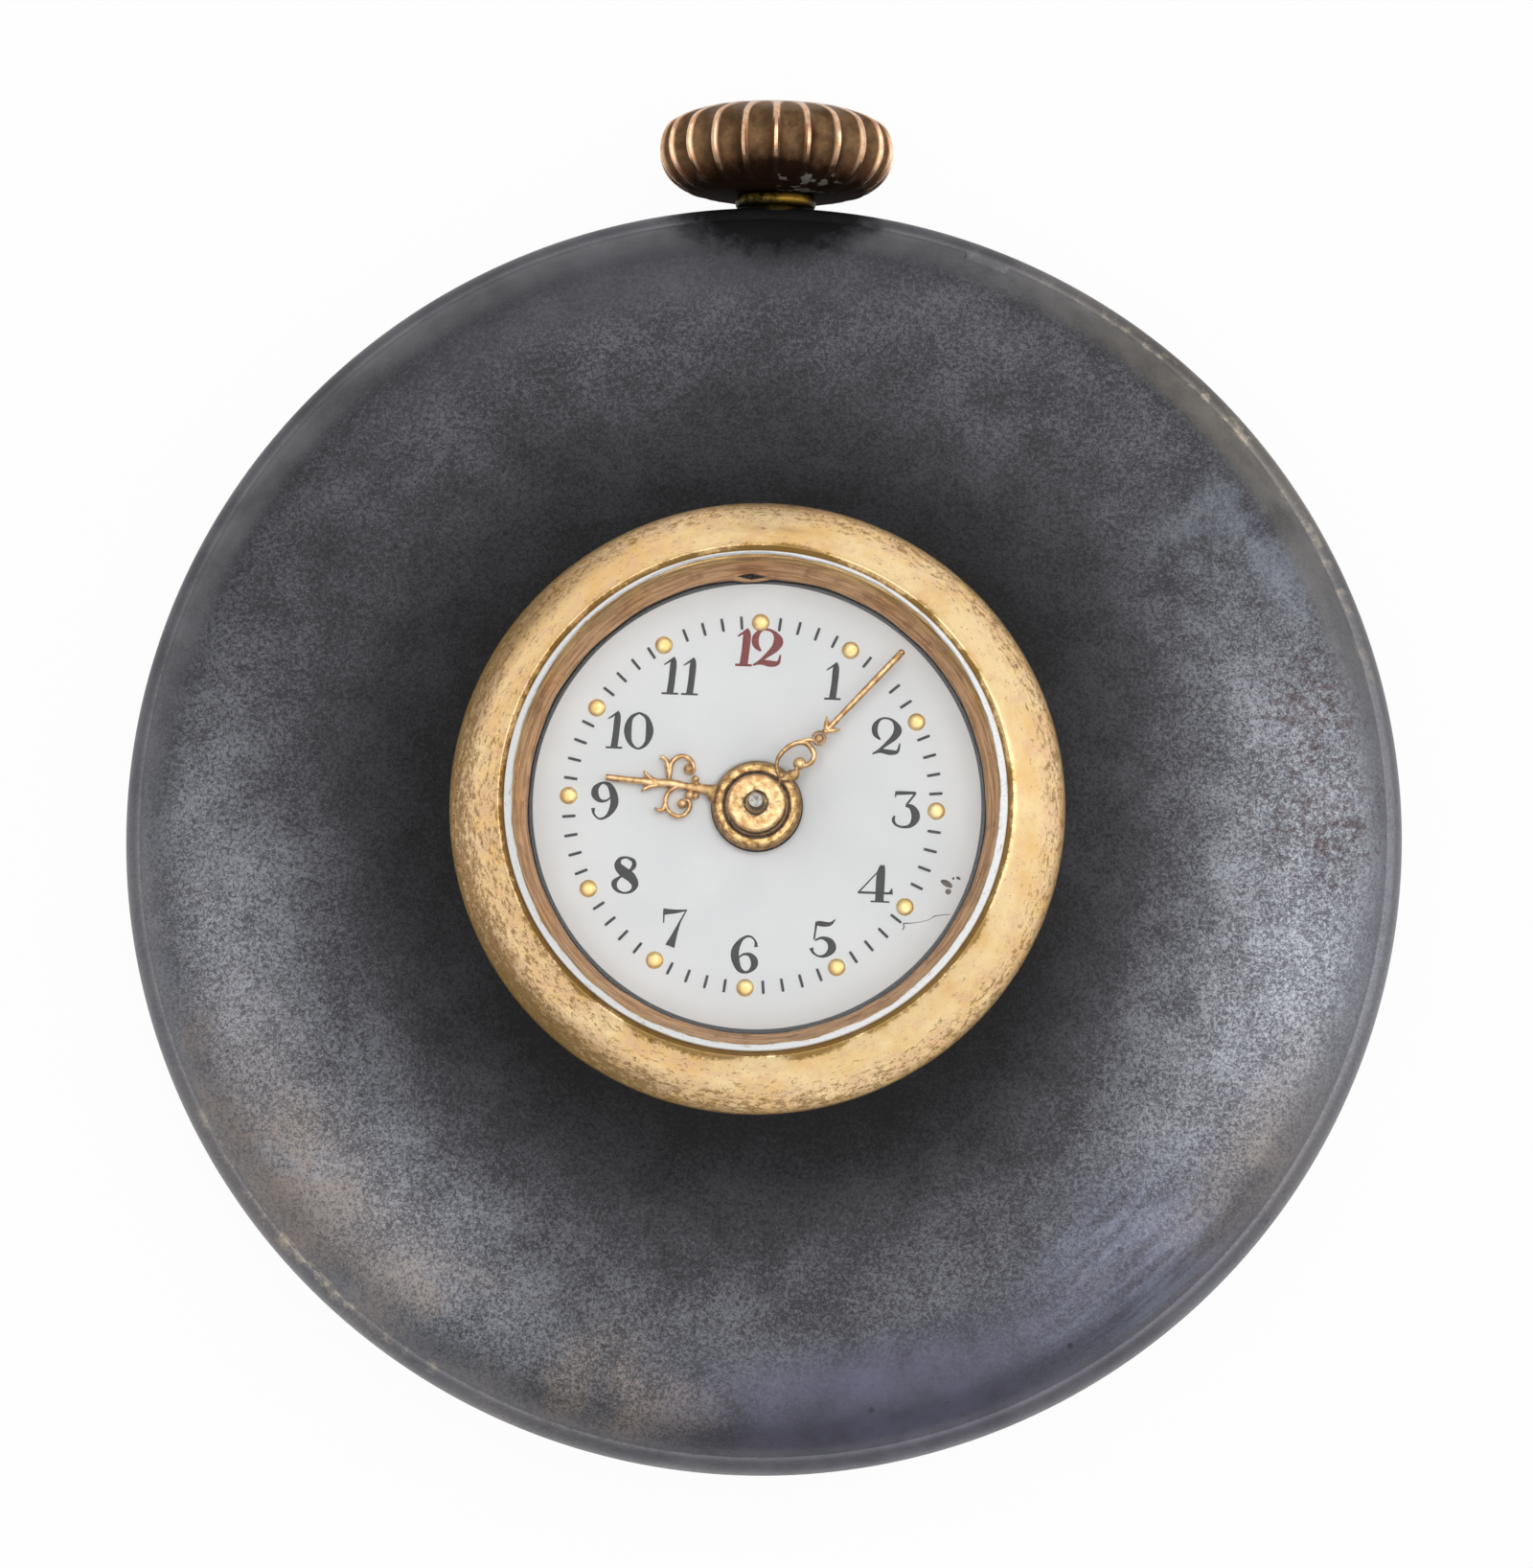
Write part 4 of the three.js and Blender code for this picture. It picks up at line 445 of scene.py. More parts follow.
def gunmetal():
    """Blued gunmetal in a fine mottle, with painted shade darker towards the neck and painted light, partly
    wear, where it is paler.
    """
    f = Finish("gunmetal")
    out = f.from_axis()
    cloud = f.noise(0.8, 4.0, 0.6)
    grain = f.noise(11.5, 3.0, 0.7, distortion=0.6)
    fine = f.noise(25.0, 2.0, 0.6)
    mottle = f.swayed(f.scaled(grain, 0.6, f.times(fine, 0.4)), cloud, 0.2)
    f.tone = f.ramp(case_light(f, out, cloud, mottle), CASE_TONES)
    case_stains(f, out, cloud, mottle)
    rim_wear_and_lip_highlight(f, out, cloud)
    # Painted shadow: nearly black and not metal on the case round the foot of the crown.
    crown_shadow_mask = painted_crown_shadow(f, cloud)
    f.paint(crown_shadow_mask, 0.9, "120f10")
    metal = f.scaled(crown_shadow_mask, -0.85, 0.92)
    rough = f.band(mottle, 0.35, 0.65, 0.5, 0.4, smooth=False)
    return f.surface(f.tone, metal, rough, f.bump(mottle, 0.1, 0.01), Specular_IOR_Level=0.0)


def case_light(f, out, cloud, mottle):
    """How pale the case is: most where light falls on the flare, as painted light with some wear, and
    darker towards the neck as painted shade, with a mottle that is calm above and below.
    """
    # Painted light, partly wear: paler at the right, lower left, left and bottom of the flare, darker near
    # the six.
    sheen_and_wear = 0.38
    for place, reach, strength in CASE_SHEEN_AND_WEAR:
        sheen_and_wear = f.scaled(f.near(place, reach), strength, sheen_and_wear)
    sheen_and_wear = f.swayed(sheen_and_wear, f.noise(0.2, 3.0, 0.55), 0.4)
    # Painted shade: the case goes darker towards the neck, where the flare turns steep under the bezel.
    light = f.times(sheen_and_wear, f.times(f.band(f.swayed(out, cloud, 1.3), 5.9, 12.2), 0.7))
    calm = f.times(f.most(f.near((-3.0, 13.0), 11.0), f.near((3.5, -13.0), 6.0)), f.band(out, 11.2, 12.4))
    spread = f.times(f.band(out, 13.6, 12.7, 0.4, 1.0), f.scaled(calm, -0.8, 1.0))
    spread = f.times(spread, f.plus(light, 0.12))
    return f.scaled(f.times(f.band(mottle, 0.38, 0.62, -0.5, 0.5), spread), 0.72, light)


def case_stains(f, out, cloud, mottle):
    """Warm and violet patches, a smudge, a smear in streaks, rust and small dark motes."""
    x, y = f.axes()[:2]
    outside = f.band(out, 10.2, 12.4)
    lower_left = f.times(f.band(y, 1.0, -5.0), f.band(x, 1.0, -3.0))
    warm = f.band(f.noise(0.35, 4.0, 0.6, distortion=0.5), 0.42, 0.64)
    warm = f.times(f.times(warm, f.times(outside, lower_left)), 0.6)
    warm = f.scaled(f.near((-10.8, -6.5), 4.5), 0.4, warm)
    lower_right = f.times(f.near((10.5, -7.5), 5.0), f.times(f.band(out, 11.6, 12.8), cloud))
    warm = f.most(f.times(warm, outside), lower_right)
    f.paint(warm, f.band(mottle, 0.42, 0.58, 0.25, 1.0), "93867c")
    smudge = f.times(f.near((10.7, 6.6), 3.0), f.band(cloud, 0.35, 0.6))
    f.paint(smudge, 0.3, "838a96")
    violet = f.times(f.near((3.2, -12.8), 7.2), f.band(out, 10.8, 12.4))
    f.paint(violet, f.band(cloud, 0.3, 0.7, 0.3, 0.75), "5f5e72")
    streaks = f.noise(1.6, 3.0, 0.6, f.stretched((0.3, 2.2, 1.0), f.round_place(12.0)))
    smear = f.mix(f.band(streaks, 0.4, 0.62), "565867", "80869c")
    f.paint(f.near((8.9, -9.9), 3.9), 0.48, smear)
    rust = f.most(f.near((12.0, 2.9), 2.6), f.near((12.3, 0.4), 2.6))
    spots = f.band(f.scaled(rust, 0.17, f.noise(3.6, 5.0, 0.8)), 0.62, 0.71)
    f.paint(spots, 0.55, "432f2c")
    f.paint(f.band(f.cells(0.8), 0.075, 0.045), 0.45, "29282b")


def rim_wear_and_lip_highlight(f, out, cloud):
    """A paler rim, and a painted highlight in bright spots along the lip of the seam, partly rubbed metal.
    """
    y, z = f.axes()[1:]
    rim = f.times(f.band(out, 13.45, 13.75), f.band(z, 0.8, 2.4))
    rim = f.most(rim, f.times(f.band(out, 12.9, 13.3), f.band(y, -1.0, 5.0)))
    pale = f.mix(f.near((10.0, 9.5), 8.0), "717074", "868077")
    f.paint(rim, f.band(cloud, 0.3, 0.7, 0.35, 0.75), pale)
    # Painted highlight, partly rubbed metal: bright spots where the lip of the seam catches light at upper
    # right and lower left.
    lip = f.times(f.band(out, 13.59, 13.65), f.band(z, 3.3, 3.4))
    lip = f.times(lip, f.most(f.near((10.5, 9.0), 9.0), f.near((-10.0, -9.5), 8.0)))
    lip = f.times(lip, f.band(f.noise(1.8, 4.0, 0.75), 0.5, 0.64))
    f.paint(lip, 0.6, "b8ad9c")


def painted_crown_shadow(f, cloud):
    """Painted shadow of the crown, nearly black, on the case round its foot."""
    spread = f.swayed(f.near((0.2, 14.1), 3.2), cloud, 0.5)
    foot = f.vector("LENGTH", f.vector("MULTIPLY_ADD", f.place, (0.55, 1.0, 0.0), (-0.055, -14.0, 0.0)))
    foot = f.swayed(foot, f.noise(2.4, 3.0, 0.7), 0.9)
    return f.most(f.band(spread, 0.3, 1.0), f.band(foot, 1.5, 0.85))


def rose_gold():
    """Worn gold: bright on the inner slope, rubbed pink and speckled outside, grimy at the edges, with
    painted shade on the outer slope at the left and low on the roll.
    """
    f = Finish("rose_gold_bezel")
    y, z = f.axes()[1:]
    out = f.from_axis()
    cloud = f.noise(0.9, 4.0, 0.6)
    pits = f.noise(7.0, 5.0, 0.75, f.stretched((0.7, 1.5, 1.2), f.round_place(6.1)))
    fine = f.noise(16.0, 3.0, 0.7)
    edge = f.plus(f.noise(0.9, 2.0, 0.5), f.noise(9.0, 5.0, 0.8))
    f.tone = f.mix(f.band(cloud, 0.34, 0.66), "f5cb8a", "ffe2ac")
    upper_left = f.near((-4.6, 4.6), 4.2)
    f.paint(upper_left, 0.35, "e0a860")
    rubbed = f.scaled(f.near((-6.0, -2.5), 9.5), 0.2, f.times(f.band(out, 6.05, 6.5), 0.2))
    pink = f.band(f.scaled(rubbed, 0.5, f.noise(2.6, 5.0, 0.7)), 0.48, 0.66)
    f.paint(pink, 0.65, "f0c8a2")
    brown = f.band(f.scaled(rubbed, 0.5, pits), 0.6, 0.69)
    f.paint(brown, 0.7, "94703f")
    specks = f.band(f.scaled(rubbed, 0.25, fine), 0.64, 0.72)
    f.paint(specks, 0.75, "5f4526")
    lines = f.noise(2.4, 5.0, 0.75, f.stretched((0.5, 3.0, 1.0), f.round_place(6.1)))
    rubs = f.times(f.band(lines, 0.56, 0.66), f.band(out, 5.9, 6.3))
    f.paint(rubs, 0.65, "f6d8b6")
    # Painted shade: darker olive gold on the outer slope at the left, which faces away from the light.
    left_outer_shade = f.most(f.near((-5.0, -5.4), 6.4), f.times(f.near((-5.9, 3.4), 6.6), 0.9))
    inward = f.scaled(cloud, 0.3, f.scaled(upper_left, 0.12, out))
    left_outer_shade = f.times(left_outer_shade, f.band(inward, 6.22, 6.7))
    f.paint(left_outer_shade, 0.85, "7d6236")
    # Painted shade: darker low on the roll, where it turns outwards and under.
    f.paint(f.band(z, 8.6, 8.35), 0.6, "876b3a")
    foot = f.times(f.band(y, -5.0, -5.7), 0.04)
    low = f.scaled(f.band(y, 2.0, -5.0), 0.07, foot)
    clean = f.scaled(f.near((-5.8, -1.0), 7.5), 0.08, out)
    ragged = f.scaled(edge, 0.4, -0.4)
    grime = f.band(f.plus(ragged, f.less(clean, low)), 5.63, 5.54)
    f.paint(grime, 0.75, "7c5c18")
    dull = f.plus(f.plus(f.times(pink, 0.5), brown), grime)
    rough = f.band(dull, 0.0, 1.2, 0.33, 0.52, smooth=False)
    skin = f.bump(f.less(1.0, f.plus(brown, specks)), 0.3, 0.012)
    skin = f.bump(f.noise(1.4, 2.0, 0.5), 0.3, 0.1, skin)
    return f.surface(f.tone, 1.0, rough, skin)


def copper_ring():
    """Turned copper with fine lines round it, with painted shade where it meets the dial."""
    f = Finish("copper_ring")
    x, y, z = f.axes()
    lines = f.noise(9.0, 4.0, 0.6, f.stretched((0.12, 1.6, 1.6), f.round_place(5.1)))
    stains = f.noise(1.8, 5.0, 0.7)
    f.tone = f.mix(f.band(lines, 0.38, 0.62), "b9895a", "e9b98a")
    f.paint(f.band(stains, 0.53, 0.66), 0.5, "8a5a34")
    f.paint(f.band(z, 9.16, 9.3), 0.7, f.mix(f.band(lines, 0.42, 0.58), "a98346", "dcba72"))
    nick = f.scaled(f.gap(y, 5.0), -4.0, f.scaled(f.gap(x, -0.2), -0.75, 0.3))
    f.tone = f.mix(f.band(nick, 0.02, 0.08), f.tone, "2a2422")
    # Painted shade: dark at the foot of the ring, where it meets the dial.
    f.tone = f.mix(f.band(z, 8.73, 8.68), f.tone, "2c1e14")
    rough = f.band(stains, 0.3, 0.7, 0.22, 0.4, smooth=False)
    return f.surface(f.tone, 1.0, rough, f.bump(lines, 0.15, 0.01))


def crystal_glass():
    """Clear glass that lets light straight through, with a ground edge painted white, partly standing for
    the glint of its bevel.
    """
    f = Finish("crystal_glass")
    y = f.axes()[1]
    clear = f.add("BsdfTransparent", {"Color": (0.985, 0.99, 0.99, 1)})
    gloss = f.add("BsdfGlossy", {"Roughness": 0.02})
    rim = f.add("Fresnel", {"IOR": 1.45})
    pane = f.blend(f.times(rim.outputs[0], 0.35), clear, gloss)
    line = f.noise(5.0, 4.0, 0.7, f.stretched((0.5, 2.0, 2.0), f.round_place(5.4)))
    f.surface(f.mix(f.band(line, 0.58, 0.7), "fafbfb", "c9b9a2"), 0.0, 0.35)
    # Painted glint with a real ground edge: a white band inside the rim, narrowest at the top, widest at
    # the sides.
    start = f.scaled(f.most(y, 0.0), 0.022, 5.29)
    start = f.scaled(f.most(f.times(y, -1.0), 0.0), 0.008, start)
    start = f.swayed(start, f.noise(1.2, 3.0, 0.6), 0.1)
    ground = f.band(f.less(f.from_axis(), start), 0.0, 0.03)
    scuffed = f.band(f.noise(14.0, 3.0, 0.6), 0.25, 0.5, 0.75, 1.0)
    f.blend(f.times(ground, scuffed), pane, f.shader)
    return f.material


def enamel():
    """White enamel, duller towards its edge as painted shade, and black where it ends as a painted shadow
    in the gap under the ring.
    """
    f = Finish("white_enamel")
    out = f.from_axis()
    haze = f.noise(0.6, 3.0, 0.5)
    f.tone = f.mix(f.band(haze, 0.3, 0.7), "edeef0", "f4f4f5")
    # Painted shade: grey towards the edge, under the ring and bezel.
    f.paint(f.band(out, 4.3, 4.86), 0.3, "c9c6c3")
    # Painted shadow: a black ring at the edge, where the gap under the copper ring lies.
    f.tone = f.mix(f.band(out, 4.865, 4.885), f.tone, "151214")
    skin = f.bump(f.noise(1.6, 2.0, 0.5), 0.05, 0.02)
    return f.surface(f.tone, 0.0, 0.22, skin, Coat_Weight=0.3, Coat_Roughness=0.06)


def ink(name, dark, light):
    """A matt print, a little uneven."""
    f = Finish(name)
    return f.surface(f.mix(f.band(f.noise(9.0, 3.0, 0.6), 0.45, 0.75), dark, light), 0.0, 0.4)


def hand_gold():
    """Old gilt: pale on the hands, granular and browner round the hub, with painted shade in the crevice
    round the cap and in the recess round the pin.
    """
    f = Finish("hand_gold")
    out = f.from_axis()
    wear = f.noise(6.0, 4.0, 0.7)
    fine = f.noise(22.0, 3.0, 0.65)
    f.tone = f.mix(f.band(wear, 0.36, 0.62), "b58750", "ebc592")
    ring = f.times(f.band(out, 1.3, 0.98), f.band(out, 0.6, 0.66))
    old = f.mix(f.band(f.noise(8.0, 4.0, 0.75), 0.42, 0.6), "946a35", "e8c384")
    f.tone = f.mix(ring, f.tone, old)
    f.paint(f.band(out, 0.9, 0.94), f.times(ring, 0.6), "7a5830")
    # Painted shade: a dark line in the crevice between the minute hand's cap and the hour hand's ring.
    f.paint(f.band(f.gap(out, 0.68), 0.05, 0.01), 0.6, "5c4020")
    # Painted shade: dark brown in the recess round the pin.
    seat = f.swayed(out, wear, 0.4)
    f.paint(f.band(seat, 0.34, 0.24), 0.85, "43321f")
    f.paint(f.band(f.noise(5.5, 4.0, 0.7), 0.6, 0.67), 0.7, "7c5a31")
    rough = f.band(wear, 0.3, 0.7, 0.42, 0.26, smooth=False)
    skin = f.bump(fine, 0.35, 0.008)
    grit = f.times(f.noise(9.0, 4.0, 0.7), ring)
    return f.surface(f.tone, 1.0, rough, f.bump(grit, 0.5, 0.03, skin))


def dot_gold():
    """Bright gold with darker pinholes."""
    f = Finish("dot_gold")
    wear = f.noise(5.0, 3.0, 0.6)
    f.tone = f.mix(f.band(wear, 0.35, 0.65), "e0bd78", "f2d79c")
    f.paint(f.band(f.noise(9.0, 3.0, 0.7), 0.6, 0.7), 0.6, "a67f3c")
    return f.surface(f.tone, 1.0, 0.36, f.bump(wear, 0.2, 0.02))


def crown_gold():
    """Polished ridges with old dirt in the flutes, and painted shade with dirt, darkest where the crown
    meets the case.
    """
    f = Finish("crown_gold")
    x, y, z = f.axes()
    depth = f.attribute("flute")
    wear = f.noise(5.0, 4.0, 0.65)
    f.tone = f.mix(f.band(wear, 0.35, 0.65), "d3a17c", "f0c9a6")
    brown = f.mix(f.band(f.noise(2.2, 3.0, 0.6), 0.35, 0.68), "59432f", "7b5f43")
    brown = f.mix(f.times(f.band(f.noise(8.0, 3.0, 0.7), 0.55, 0.7), 0.35), brown, "8e7150")
    filled = f.band(f.swayed(depth, wear, 0.2), 0.1, 0.42)
    f.tone = f.mix(filled, f.tone, brown)
    f.paint(f.band(y, 15.85, 16.2), 0.5, "86674a")
    # Painted shade: darker brown on the half of the crown nearer the case.
    f.paint(f.band(y, 15.1, 14.6), 0.88, "472d1f")
    # Painted shade with some dirt: nearly black and not metal at the base, reaching higher up the flanks,
    # where the crown turns from the light and meets the case.
    height = f.swayed(y, wear, 0.7)
    height = f.scaled(f.gap(x, 0.1), 0.2, height)
    dirt = f.most(f.band(height, 15.1, 14.7), f.band(y, 14.5, 14.36))
    f.paint(dirt, 0.92, "1b120c")
    chips = f.times(f.band(f.noise(2.6, 2.0, 0.6), 0.54, 0.6), f.band(y, 14.6, 14.5))
    chips = f.times(chips, f.times(f.band(x, 0.0, 0.2), f.band(x, 1.6, 1.3)))
    f.paint(f.times(chips, f.band(z, 3.0, 3.6)), 0.6, "8f8a80")
    rough = f.band(f.most(filled, dirt), 0.0, 1.0, 0.22, 0.55, smooth=False)
    metal = f.scaled(dirt, -0.9, 1.0)
    return f.surface(f.tone, metal, rough, f.bump(wear, 0.15, 0.02), Specular_IOR_Level=0.0)


def collar_brass():
    """Green and yellow brass, paler along the top as a painted highlight, and nearly black at its ends and
    flanks as painted shade under the crown and against the case.
    """
    f = Finish("collar_brass")
    x, y = f.axes()[:2]
    stain = f.noise(6.0, 4.0, 0.7)
    f.tone = f.mix(f.band(stain, 0.4, 0.62), "2b2713", "7d6a2c")
    # Painted highlight, partly cleaner brass: paler along the top of the collar.
    clean = f.times(f.band(f.gap(x, 0.42), 0.5, 0.15), f.band(stain, 0.3, 0.5))
    f.paint(clean, 0.75, "b98f38")
    # Painted shade: nearly black at both ends, under the crown and against the case, and on the flanks.
    edge = f.most(f.band(y, 14.14, 14.04), f.band(y, 14.2, 14.27))
    edge = f.most(edge, f.band(f.gap(x, 0.0), 0.62, 0.85))
    f.paint(edge, 0.9, "15130c")
    return f.surface(f.tone, 0.8, 0.45, f.bump(stain, 0.3, 0.02), Specular_IOR_Level=0.0)


def fittings(name, light, dark, rough, scale=5.0, metallic=1.0):
    """A brushed metal of the movement: a lighter and a darker tone in fine lines."""
    f = Finish(name)
    lines = f.noise(scale, 3.0, 0.55, f.stretched((1.0, 7.0, 1.0)))
    spots = f.noise(scale * 2.2, 4.0, 0.6)
    f.tone = f.mix(f.band(lines, 0.34, 0.66), dark, light)
    f.paint(f.band(spots, 0.6, 0.74), 0.4, dark)
    rough = f.band(spots, 0.3, 0.7, rough * 0.8, rough * 1.2, smooth=False)
    return f.surface(f.tone, metallic, rough, f.bump(lines, 0.08, 0.01))


def centre_arbor():
    """The centre wheel in brass, its long arbor in grey steel up to the tip of the pin, with painted shade
    where the pin sits in its recess.
    """
    f = Finish("centre_wheel_and_pin")
    z = f.axes()[2]
    lines = f.noise(6.0, 3.0, 0.6, f.stretched((1.0, 6.0, 1.0)))
    brass = f.mix(f.band(lines, 0.35, 0.65), "a07e3e", "cfa85c")
    steel = f.mix(f.band(f.noise(9.0, 3.0, 0.6), 0.35, 0.65), "6a655f", "a9a7a4")
    # Painted shade: dark brown on the pin below the top of the cap, down in its recess.
    steel = f.mix(f.band(z, 9.34, 9.26), steel, "33271b")
    return f.surface(f.mix(f.band(z, 4.0, 4.1), brass, steel), 1.0, 0.32, f.bump(lines, 0.08, 0.01))


GUNMETAL, BEZEL, COPPER, GLASS = gunmetal(), rose_gold(), copper_ring(), crystal_glass()
ENAMEL, HANDS, DOTS, CROWN = enamel(), hand_gold(), dot_gold(), crown_gold()
BLACK_PRINT, RED_PRINT = ink("black_print", "151516", "29292b"), ink("red_print", "7e1414", "96302a")
OLD_DIRT = ink("old_dirt", "4a3a32", "8a7a70")
COLLAR = collar_brass()
CENTRE = centre_arbor()
GILT = fittings("gilt_plate", "d9b06a", "b58a49", 0.34)
BRASS = fittings("wheel_brass", "cfa85c", "a07e3e", 0.3)
STEEL = fittings("polished_steel", "a9acb1", "7c7f86", 0.26)
BLUE_STEEL = fittings("blued_steel", "3f5596", "25335f", 0.24)
RUBY = fittings("ruby_jewel", "b8264a", "8a1232", 0.1, 3.0, 0.0)
RING_METAL = fittings("ring_brass", "b9a06a", "8c7746", 0.42, 3.0)


# Case
def case_body():
    """The dish of back and side, with the lip that the front slides into and the stem's hole."""
    outline = [(0.0, 0.0)] + quarter_round(BACK_FLAT, 0.0, CASE_RADIUS - BACK_FLAT, AXIS_HEIGHT, 40)
    outline += [(13.99, 2.95), (13.965, 3.15), (13.91, 3.3), (13.83, 3.39), (13.75, 3.43),
                (13.68, LIP_TOP), (LIP_RADIUS, LIP_TOP), (LIP_RADIUS, LEDGE_TOP)]
    inside = quarter_round(BACK_FLAT, BACK_WALL, LEDGE_RADIUS - BACK_FLAT, LEDGE_TOP - BACK_WALL, 16)
    outline += inside[::-1] + [(0.0, BACK_WALL)]
    item = piece("case_back_fine", [lathe(outline)], GUNMETAL, "watch", ["case_body"])
    hole = [(0.0, 12.0), (STEM_HOLE, 12.0), (STEM_HOLE, 15.0), (0.0, 15.0)]
    cut_out(item, about_stem(lathe(hole, 48)))


def front_shell():
    """The flared front with the skirt that holds it, thin at the rim, and the knife notch in its lip."""
    shoulder = [(13.67, 3.5), (13.5, 3.744), (13.18, 4.01)]
    flare = [(12.8, 4.15), (11.497, 4.38), (10.299, 4.601), (9.197, 4.851), (8.305, 5.122),
             (7.5, 5.45), (6.797, 5.852), (6.253, 6.298), (5.855, 6.799), (5.62, 7.307),
             (NECK_RADIUS, 7.758), (NECK_RADIUS, NECK_TOP)]
    outer = flowing(shoulder + flare, 7)
    inner = []
    thinnest, thickest, growth, grows_from = 0.22, 0.4, 0.12, 4.4
    for i in range(8, len(outer) - 1, 5):
        (r0, z0), (r1, z1) = outer[i - 1], outer[i + 1]
        r, z = outer[i]
        wall = min(thickest, thinnest + growth * max(z - grows_from, 0.0)) / math.hypot(r1 - r0, z1 - z0)
        inner.append((r - (z1 - z0) * wall, z + (r1 - r0) * wall))
    outline = [(13.12, 3.46), (13.62, 3.46), (13.65, 3.47)] + outer + [(5.16, NECK_TOP)] + inner[::-1]
    outline += [(12.85, 3.51), (12.85, 3.23), (13.12, 3.23)]
    item = piece("case_front_fine", [lathe(outline, 360)], GUNMETAL, "front", ["case_front"])
    cut_out(item, notch_block())


def notch_block():
    """What the knife notch takes from the front's lip."""
    half, outside, low, high = NOTCH_WIDTH / 2, 14.2, 2.6, 3.75
    corners = [(-half, NOTCH_DEPTH), (half, NOTCH_DEPTH), (half, outside), (-half, outside)]
    base = [turned(x, y, NOTCH_TURN) for x, y in corners]
    points = [(x, y, low) for x, y in base] + [(x, y, high) for x, y in base]
    faces = [(3, 2, 1, 0), (4, 5, 6, 7)] + [(k, (k + 1) % 4, (k + 1) % 4 + 4, k + 4) for k in range(4)]
    return points, faces


def bezel():
    """The turned bezel over the end of the neck, rolled over at its outer edge."""
    top = flowing([(5.56, 9.62), (5.6, 9.65), (5.85, 9.42), (6.1, 9.12), (6.38, 8.78), (6.6, 8.48),
                   (6.7, 8.28), (6.66, 8.12), (6.48, 7.96), (6.2, 7.85), (5.75, 7.77), (5.58, 7.76)], 8)
    outline = [(NECK_RADIUS, 7.77), (NECK_RADIUS, NECK_TOP), (SEAT_RADIUS, NECK_TOP),
               (SEAT_RADIUS, 9.56)] + top
    piece("bezel_fine", [lathe(outline, 360)], BEZEL, "front", ["bezel_ring"])


def inner_ring():
    """The copper ring between dial and crystal, sloped inside."""
    lip, lip_top, dent_middle, dent_reach, dent_depth = 5.1, 8.9, -0.2, 0.42, 0.07
    outline = [(4.97, 8.67), (5.02, 8.63), (5.11, 8.63), (5.11, NECK_TOP), (SEAT_RADIUS, NECK_TOP),
               (SEAT_RADIUS, SEAT_TOP), (5.37, SEAT_TOP), (5.34, 9.38), (5.16, 9.02), (5.07, 8.88),
               (4.99, 8.74)]

    def sheen_and_wear(place):
        """Makes the lip a little uneven, and lets it reach in where it was once dented."""
        x, y, z = place
        radius = math.hypot(x, y)
        if radius >= lip:
            return place
        dented = y > 0 and z < lip_top
        reach = max(0.0, 1 - ((x - dent_middle) / dent_reach) ** 2) if dented else 0.0
        angle = math.atan2(y, x)
        wave = 0.008 * math.sin(9 * angle) + 0.006 * math.sin(23 * angle)
        share = 1 - (dent_depth * reach + wave) / radius
        return x * share, y * share, z
    shell = shifted(lathe(outline, 320), sheen_and_wear)
    piece("inner_ring_fine", [shell], COPPER, "front", ["rehaut_ring"])


def crystal():
    """Thick glass, almost flat on top, with a ground ledge round it."""
    top, rise, wide, under = 10.04, 0.08, 5.275, 9.82

    def dome(radius):
        return top + rise * (1 - (radius / wide) ** 2)
    outline = [(5.36, 9.43), (5.47, 9.43), (5.47, 9.66), (5.455, 9.69), (5.3, 9.76), (5.284, 9.78),
               (5.272, 10.02), (5.255, dome(5.25))]
    outline += [(5.24 * (1 - k / 20), dome(5.24 * (1 - k / 20))) for k in range(21)]
    outline += [(4.288 * k / 16, under - rise * (k / 16) ** 2) for k in range(17)]
    outline += [(4.9, 9.66), (5.26, 9.5)]
    piece("crystal_fine", [lathe(outline, 256)], GLASS, "front", ["crystal"])


# Dial
def dial_disc():
    """The enamel disc with its hole for the hands' pipes."""
    outline = [(1.0, 8.3), (5.04, 8.3), (5.04, 8.55), (5.01, 8.585), (4.95, DIAL_TOP), (1.02, DIAL_TOP),
               (1.0, 8.59)]
    piece("enamel_dial", [lathe(outline, 256)], ENAMEL, "watch", ["dial"])


def hour_dots():
    """Twelve raised studs, each turned from its hour by its own small angle."""
    turns = (1.5, 1.2, 2.1, 1.0, 3.0, 1.7, 1.2, 1.0, 1.9, 2.1, 1.3, 0.2)
    profile = [(0.0, -0.05), (0.19, -0.05), (0.192, 0.005), (0.188, 0.024), (0.168, 0.048), (0.12, 0.068),
               (0.06, 0.079), (0.0, 0.082)]
    stud = lathe([(r, z + DIAL_TOP) for r, z in profile], 40)
    studs = []
    for hour, turn in enumerate(turns):
        x, y = clockwise((DOT_CIRCLE, 0.0), hour * 30 + turn)
        studs.append(moved(stud, (PRINT_CENTRE[0] + x, PRINT_CENTRE[1] + y)))
    piece("hour_dots", studs, DOTS, "watch", sharp=50)


def minute_marks():
    """Forty-eight short strokes between the dots, set round the dial by a node tree."""
    sizes = {"Radius": MARK_CIRCLE * MM, "Length": MARK_LENGTH * MM, "Width": MARK_WIDTH * MM,
             "Height": (PRINT_TOP - DIAL_TOP) * MM, "Steps": MINUTES}
    tree, entries = minute_track(sizes)
    item = in_scene("minute_marks", bpy.data.meshes.new("minute_marks"))
    maker = item.modifiers.new("minute track", "NODES")
    maker.node_group = tree
    for name, value in sizes.items():
        maker[entries[name]] = value
    applied(item)
    for point in item.data.vertices:
        point.co = printed_mark(*point.co)
    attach(item, "watch")


